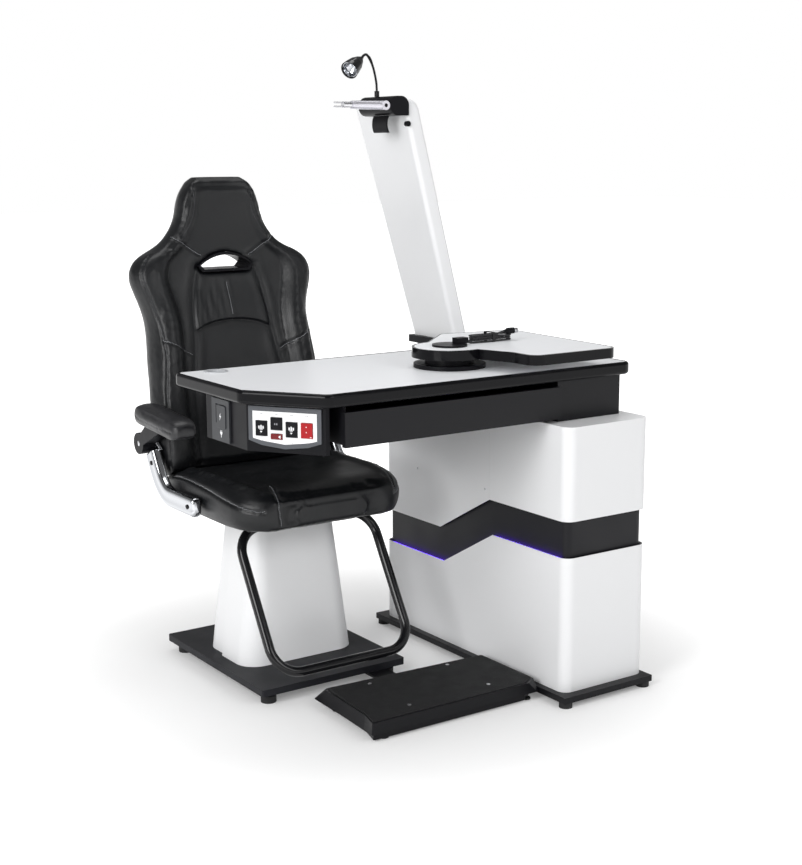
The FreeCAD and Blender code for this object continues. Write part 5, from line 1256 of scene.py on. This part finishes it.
neck_line = line_mesh("neck_rings", [smooth_line([(x, NECK_Y, z) for x, z in NECK_ROUTE])])
neck_sizes = {"pitch": 2.4 * MM, "radius": 2.75 * MM, "wire": 0.75 * MM}
neck_rings = grow(neck_line, ring_tree(), finish=FINISHES["black_paint"], **neck_sizes)
settle(neck_rings, "lamp", "black_paint")
print("neck rings", len(neck_rings.data.polygons), "faces")

# %% [markdown]
# The armrest brackets are bent from thick bar with rounded edges and a shallow hollow along the
# outer face, polished all over. One section is carried along the bend and rounded off at the front.
# The tab, the eye and the pin of the pivot are plain.

# %% The armrest brackets
BAR_LINE = [
    (0.1155, 0.4825), (0.160, 0.4825), (0.215, 0.4825), (0.262, 0.4835),
    (0.292, 0.492), (0.322, 0.515), (0.346, 0.548), (0.368, 0.586),
]
BAR_HALF = (15.2, 25.0)
BAR_MIDDLE = 0.2738
BAR_AROUND = 48
BAR_SQUARE = 0.62
HOLLOW_DEPTH = 2.6
HOLLOW_WIDTH = 9.0
NOSE_START = 1.5 * MM
NOSE_LENGTH = 12 * MM
NOSE_SHARE = 0.55
PIVOT = (0.398, 0.608)
EYE_RADIUS = 0.023
TAB_SIDES = (0.2583, 0.2673)
PIN_PROFILE = [(0, 8.0 * MM), (42 * MM, 8.0 * MM), (43.2 * MM, 6.8 * MM)]


def bar_section(share):
    """The bar's cut: a rounded oblong, hollowed a little on its outer side."""
    ring = []
    for number in range(BAR_AROUND):
        angle = math.tau * number / BAR_AROUND
        c, s = math.cos(angle), math.sin(angle)
        out = BAR_HALF[0] * math.copysign(abs(c) ** BAR_SQUARE, c) * share
        up = BAR_HALF[1] * math.copysign(abs(s) ** BAR_SQUARE, s) * share
        if out > 0:
            out -= HOLLOW_DEPTH * math.exp(-((up / HOLLOW_WIDTH) ** 2)) * share
        ring.append((out * MM, up * MM))
    return ring


def bracket_bar(name, side):
    """The bent bar, rounded off at its front end."""
    line = smooth_line([(0.0, y, z) for y, z in BAR_LINE], 3 * MM)
    points = []
    for number, (place, gone) in enumerate(zip(line, runs_of(line))):
        ahead = heading(line, number).normalized()
        up = Vector((0, -ahead.z, ahead.y))
        along = min(1.0, (gone + NOSE_START) / NOSE_LENGTH)
        share = max(NOSE_SHARE, math.sqrt(1 - (1 - along) ** 2))
        for out, rise in bar_section(share):
            points.append(Vector((CHAIR_X + side * (BAR_MIDDLE + out), place.y, place.z)) + up * rise)
    return mesh_piece(name, points, tube_faces(len(line), BAR_AROUND))


def bracket_tab(name, side):
    """The flat tab with its eye, and the pin through it."""
    outline = [(0.392, 0.568), (0.340, 0.596), (PIVOT[0] - 0.0161, PIVOT[1] + 0.0161)]
    for n in range(-3, 13):
        angle = math.tau * n / 32
        outline.append((PIVOT[0] + EYE_RADIUS * math.sin(angle), PIVOT[1] + EYE_RADIUS * math.cos(angle)))
    near, far = (CHAIR_X + side * place for place in TAB_SIDES)
    points = [(x, y, z) for x in (near, far) for y, z in outline]
    tab = mesh_piece(name, points, plate_faces(0, len(outline)), smooth=False)
    pin = lathe(name + "_pin", PIN_PROFILE, (near, *PIVOT), (side, 0, 0), 32)
    return [soften_edges(tab, 1.0 * MM, 3), pin]


brackets = {}
for title, side in (("left", -1), ("right", 1)):
    brackets[title] = coat_with(bracket_bar(title + "_bracket_bar", side), FINISHES["chrome"])
    settle(brackets[title], "seat", "chrome", title + "_arm_bracket")
    for piece in bracket_tab(title + "_bracket_tab", side):
        settle(coat_with(piece, FINISHES["chrome"]), "seat", "chrome")

# %% [markdown]
# Screws hold the service panel and the drawer housing, and cap bolts the armrest brackets. One head
# of each kind is modelled, with its recess, and a tree copies it to marked places, turned to face
# the way that is stored with each place. A head's profile is listed from its foot to its recess.

# %% Screw heads
PAN_HEAD = [(-0.3, 0.96), (0, 1), (0.45, 0.96), (0.85, 0.7), (1, 0.42), (1, 0.34), (0.55, 0.16), (0.5, 0)]
CAP_HEAD = [(-0.3, 0.98), (0, 1), (0.82, 1), (1, 0.88), (1, 0.58), (0.9, 0.52), (0.2, 0.5), (0.15, 0)]


def head(name, shares, radius, height, around):
    """A screw head turned from a profile that is given in shares of its height and its radius."""
    profile = [(rise * height, reach * radius) for rise, reach in shares]
    return lathe(name, profile, (0, 0, 0), (0, 0, 1), around)


def head_tree():
    tree, add, link, start = new_tree("heads", (("Head", "NodeSocketObject", None),))
    shape = add("GeometryNodeObjectInfo")
    facing = add("GeometryNodeInputNamedAttribute")
    facing.data_type = "FLOAT_VECTOR"
    facing.inputs["Name"].default_value = "facing"
    link((start, "Head", shape, "Object"))
    put = copies(add, link, (start, "Geometry"), (shape, "Geometry"), (facing, "Attribute"))
    return finish_tree(tree, put, start)


def marked_places(name, marks):
    """Points that each carry the way that a head there faces."""
    data = bpy.data.meshes.new(name)
    data.from_pydata([place for place, _ in marks], [], [])
    facing = data.attributes.new("facing", "FLOAT_VECTOR", "POINT")
    facing.data.foreach_set("vector", [v for _, way in marks for v in way])
    return add_object(name, data)


def mark_on(piece, start, way):
    """The place where a straight line meets a piece's surface, and the surface's facing there."""
    place, normal, _, _ = skin_of(piece).ray_cast(Vector(start), Vector(way))
    return tuple(place), tuple(normal)


heads = head_tree()
panel_screw = head("panel_screw", PAN_HEAD, 3.2 * MM, 1.6 * MM, 16)
bracket_bolt = head("bracket_bolt", CAP_HEAD, 6.0 * MM, 3.0 * MM, 24)
LEFT = (-1, 0, 0)
RIGHT = (1, 0, 0)
service_panel = frame["nodes"]["service_panel"]
panel_corners = ((0.130, 0.497), (-0.178, 0.496), (0.245, 0.665), (-0.178, 0.665))
upper_marks = [mark_on(service_panel, (0.1, y, z), RIGHT) for y, z in panel_corners]
upper_marks.append(mark_on(frame["nodes"]["drawer_housing"], (-0.45, -0.030, 0.760), RIGHT))
screw_places = marked_places("table_screws", upper_marks)
table_screws = grow(screw_places, heads, head=panel_screw, finish=FINISHES["steel"])
settle(table_screws, "table", "steel")
bolt_marks = []
for y, z in ((0.146, 0.4825), (0.352, 0.561)):
    bolt_marks.append(mark_on(brackets["left"], (-0.7, y, z), RIGHT))
    bolt_marks.append(mark_on(brackets["right"], (0.4, y, z), LEFT))
bolt_places = marked_places("bracket_bolts", bolt_marks)
bracket_bolts = grow(bolt_places, heads, head=bracket_bolt, finish=FINISHES["black_paint"])
settle(bracket_bolts, "seat", "black_paint")
for pattern in (panel_screw, bracket_bolt):
    bpy.data.objects.remove(pattern)
print(len(upper_marks), "screws and", len(bolt_marks), "bolts")

# %% [markdown]
# The switches carry small marks. Each mark is a thin closed plate whose outline is given on the
# panel, and whose points are cast onto the rocker, so that it follows the rocker's hollow front.
# The marks are plain signs: arrows, bars and dots. A mark on a rocker rides with that rocker.

# %% Marks on the switches
PANEL_START = Vector((-0.49445, -0.26034, 0))
PANEL_ALONG = Vector((0.5913, -0.8064, 0))
PANEL_OUT = Vector((-0.8064, -0.5913, 0))
MARK_RISE = 0.18
MARK_SINK = 0.3


def panel_place(u, z, out=0.0):
    return PANEL_START + PANEL_ALONG * (u * MM) + PANEL_OUT * (out * MM) + Vector((0, 0, z * MM))


def thin_plate(name, skin, way, places):
    """Closed thin plates on a surface, from flat outlines seen along a direction."""
    points, faces = [], []
    for outline in places:
        hits = []
        for place in outline:
            hit, _, _, _ = skin.ray_cast(place, way)
            hits.append(hit if hit is not None else place + way * 0.05)
        faces += plate_faces(len(points), len(hits))
        points += [hit - way * MARK_RISE * MM for hit in hits] + [hit + way * MARK_SINK * MM for hit in hits]
    return mesh_piece(name, points, faces, smooth=False)


def triangle(u, z, size):
    return [(u - size, z + size * 0.5), (u + size, z + size * 0.5), (u, z - size * 0.8)]


def bar(u, z, width, height):
    left, right, foot, top = u - width / 2, u + width / 2, z - height / 2, z + height / 2
    return [(left, foot), (right, foot), (right, top), (left, top)]


def dot(u, z, radius, around=10):
    angles = [math.tau * n / around for n in range(around)]
    return [(u + radius * math.cos(angle), z + radius * math.sin(angle)) for angle in angles]


def lift_sign(u, z):
    """Three upright bars on a short level one, with a triangle that points down below them."""
    bars = ((-5, 2, 3.2, 6.5), (0, 3, 3.2, 8.5), (5, 2, 3.2, 6.5), (0, -2.5, 8, 1.6))
    sign = [bar(u + shift, z + rise, width, height) for shift, rise, width, height in bars]
    return sign + [triangle(u, z - 8, 3.2)]


def cast_marks(name, node, outlines, ink):
    """Thin marks on one of the panel's solids, from outlines on the panel in millimetres."""
    cast = [[panel_place(u, z, 40) for u, z in outline] for outline in outlines]
    return coat_with(thin_plate(name, skin_of(frame["nodes"][node]), -PANEL_OUT, cast), ink)


SWITCH_MARKS = {
    "chair_switch": ("chair_rocker", INK, lift_sign(32.5, 756)),
    "table_switch": ("table_rocker", INK, lift_sign(106.5, 756)),
    "lamp_switch": ("lamp_rocker", GREY_INK, [bar(66.5, 767, 2.4, 4), bar(71.5, 767, 2.4, 4)]),
    "reading_switch": ("reading_rocker", INK, [[(80, 742), (80, 734), (74.5, 738)]]),
    "power_switch": ("power_rocker", INK, [dot(143, 764, 1.3), dot(143, 752, 1.3), bar(153.5, 741, 4, 1.6)]),
}
for node, (body, ink, outlines) in SWITCH_MARKS.items():
    settle(cast_marks(node + "_marks", node, outlines, ink), body, "white_plastic")

face_marks = []
for u in (32.5, 69.5, 106.5, 143.5):
    face_marks += [bar(u - 2.6, 788.5, 1.6, 1.6), bar(u + 1.2, 788.5, 3.2, 1.6)]
for u, z in ((32.5, 728), (106.5, 724.5), (143.5, 728)):
    face_marks += [bar(u - 2.2, z, 1.6, 1.6), bar(u + 1.8, z, 2.6, 1.6)]
settle(cast_marks("switch_plate_marks", "panel_face", face_marks, GREY_INK), "table", "white_plastic")

# %% [markdown]
# The socket plate beside the panel has a raised cover with a dark gap along one side, and two small
# signs: a lightning bolt and a plug. They are plain signs that such plates carry.

# %% The socket plate
PLATE_X = -0.503
COVER_SINK = 0.5 * MM
COVER_RISE = 2.2 * MM
SIGN_SCALE = 1.35
SIGN_Y = -0.138


def make_socket_cover():
    """A low cover with rounded edges on the plate."""
    outline = [
        (-0.163, 0.786), (-0.163, 0.738), (-0.160, 0.735), (-0.122, 0.735),
        (-0.119, 0.738), (-0.119, 0.786), (-0.122, 0.789), (-0.160, 0.789),
    ]
    points = [(x, y, z) for x in (PLATE_X + COVER_SINK, PLATE_X - COVER_RISE) for y, z in outline]
    cover = mesh_piece("socket_cover", points, plate_faces(0, len(outline)), smooth=False)
    return coat_with(soften_edges(cover, 0.8 * MM, 3), SOCKET_GREY)


socket_cover = make_socket_cover()
settle(socket_cover, "table", "grey_plastic")
bolt_sign = [(2, 7), (-3, -0.5), (0, -0.5), (-2, -7), (4, 1.5), (0.5, 1.5)]
plug_sign = [
    (-4, 3), (-2.6, 3), (-2.6, 6), (-1.4, 6), (-1.4, 3), (1.4, 3), (1.4, 6), (2.6, 6),
    (2.6, 3), (4, 3), (4, 0), (0.8, -3.5), (0.8, -7), (-0.8, -7), (-0.8, -3.5), (-4, 0),
]
for name, sign, z in (("socket_bolt_sign", bolt_sign, 0.762), ("socket_plug_sign", plug_sign, 0.722)):
    whole = bmesh.new()
    for source in (frame["nodes"]["socket_plate"].data, socket_cover.data):
        whole.from_mesh(source)
    skin = BVHTree.FromBMesh(whole)
    whole.free()
    cast = [[Vector((-0.54, SIGN_Y - u * SIGN_SCALE * MM, z + v * SIGN_SCALE * MM)) for u, v in sign]]
    piece = coat_with(thin_plate(name, skin, Vector((1, 0, 0)), cast), INK)
    settle(piece, "table", "white_plastic")

# %% [markdown]
# The floor is white and takes the object's shadow. A plain diffuse floor under soft light is not
# pure white in a camera, so it also glows a little to the camera, to mirrors and to glass only: the
# glow lights nothing. It grows with the distance from the unit, where the lamps no longer reach, so
# that floor and backdrop meet without a line. The world is white at the horizon and dim overhead,
# so that gloss black and chrome show dark and bright bands as they do in a studio.

# %% Floor, world and lamps
FLOOR_HALF = 30
FLOOR_NEAR = 0.6
FLOOR_FAR = 1.8
FLOOR_GLOW = 0.17
SKY_LIGHT = 0.52
SKY_BANDS = [(0.0, 1.0), (0.13, 1.0), (0.24, 0.30), (0.60, 0.20), (1.0, 0.28)]


def math_node(add, kind, operation):
    node = add(kind)
    node.operation = operation
    return node


def make_floor():
    corners = [(x * FLOOR_HALF, y * FLOOR_HALF, 0) for x, y in ((-1, -1), (1, -1), (1, 1), (-1, 1))]
    floor = mesh_piece("studio_floor", corners, [(0, 1, 2, 3)], smooth=False)
    material = bpy.data.materials.new("white_floor")
    material.use_nodes = True
    tree = material.node_tree
    add, link = tools_of(tree)
    tree.nodes.remove(tree.nodes["Principled BSDF"])
    end = tree.nodes["Material Output"]
    matte = add("ShaderNodeBsdfDiffuse", {"Color": (0.8, 0.8, 0.8, 1)})
    glow = add("ShaderNodeEmission")
    where = add("ShaderNodeTexCoord")
    distance = math_node(add, "ShaderNodeVectorMath", "LENGTH")
    far = add("ShaderNodeMapRange")
    far.interpolation_type = "SMOOTHSTEP"
    far.inputs["From Min"].default_value = FLOOR_NEAR
    far.inputs["From Max"].default_value = FLOOR_FAR
    far.inputs["To Min"].default_value = FLOOR_GLOW
    far.inputs["To Max"].default_value = 1.0
    ray = add("ShaderNodeLightPath")
    seen = math_node(add, "ShaderNodeMath", "MAXIMUM")
    seen_too = math_node(add, "ShaderNodeMath", "MAXIMUM")
    amount = math_node(add, "ShaderNodeMath", "MULTIPLY")
    both = add("ShaderNodeAddShader")
    link(
        (where, "Object", distance, 0), (distance, "Value", far, "Value"),
        (ray, "Is Camera Ray", seen, 0), (ray, "Is Glossy Ray", seen, 1),
        (seen, 0, seen_too, 0), (ray, "Is Transmission Ray", seen_too, 1),
        (seen_too, 0, amount, 0), (far, "Result", amount, 1), (amount, 0, glow, "Strength"),
        (matte, 0, both, 0), (glow, 0, both, 1), (both, 0, end, "Surface"),
    )
    coat_with(floor, material)


def make_world():
    """White at the horizon, dim overhead, and one plain level for diffuse light."""
    world = bpy.data.worlds.new("studio")
    scene.world = world
    world.use_nodes = True
    add, link = tools_of(world.node_tree)
    back = world.node_tree.nodes["Background"]
    where = add("ShaderNodeTexCoord")
    split = add("ShaderNodeSeparateXYZ")
    bands = add("ShaderNodeValToRGB")
    stops = bands.color_ramp.elements
    for place, level in SKY_BANDS[2:]:
        stops.new(place)
    for stop, (place, level) in zip(stops, SKY_BANDS):
        stop.position = place
        stop.color = (level, level, level, 1)
    ray = add("ShaderNodeLightPath")
    plain_light = add("ShaderNodeMix")
    plain_light.data_type = "RGBA"
    plain_light.inputs["B"].default_value = (SKY_LIGHT, SKY_LIGHT, SKY_LIGHT, 1)
    link(
        (where, "Generated", split, "Vector"), (split, "Z", bands, "Fac"), (bands, "Color", plain_light, "A"),
        (ray, "Is Diffuse Ray", plain_light, "Factor"), (plain_light, "Result", back, "Color"),
    )
    back.inputs["Strength"].default_value = 1.0


def soft_lamp(name, place, target, width, height, power):
    data = bpy.data.lights.new(name, "AREA")
    data.shape = "RECTANGLE"
    data.size = width
    data.size_y = height
    data.energy = power
    lamp = bpy.data.objects.new(name, data)
    lamp.location = place
    lamp.rotation_euler = (Vector(target) - Vector(place)).to_track_quat("-Z", "Y").to_euler()
    scene.collection.objects.link(lamp)
    return lamp


make_floor()
make_world()
lamps = [
    soft_lamp("left_softbox", (-3.3, -1.3, 2.0), (-0.1, 0.0, 0.7), 1.5, 2.2, 86),
    soft_lamp("front_softbox", (0.6, -3.6, 2.4), (0.0, 0.0, 0.6), 2.2, 1.2, 34),
    soft_lamp("top_softbox", (0.0, 0.4, 3.6), (0.0, 0.1, 0.8), 2.4, 1.5, 36),
]
scene.view_settings.view_transform = "Standard"
print("lamps", [(lamp.name, lamp.data.energy) for lamp in lamps])
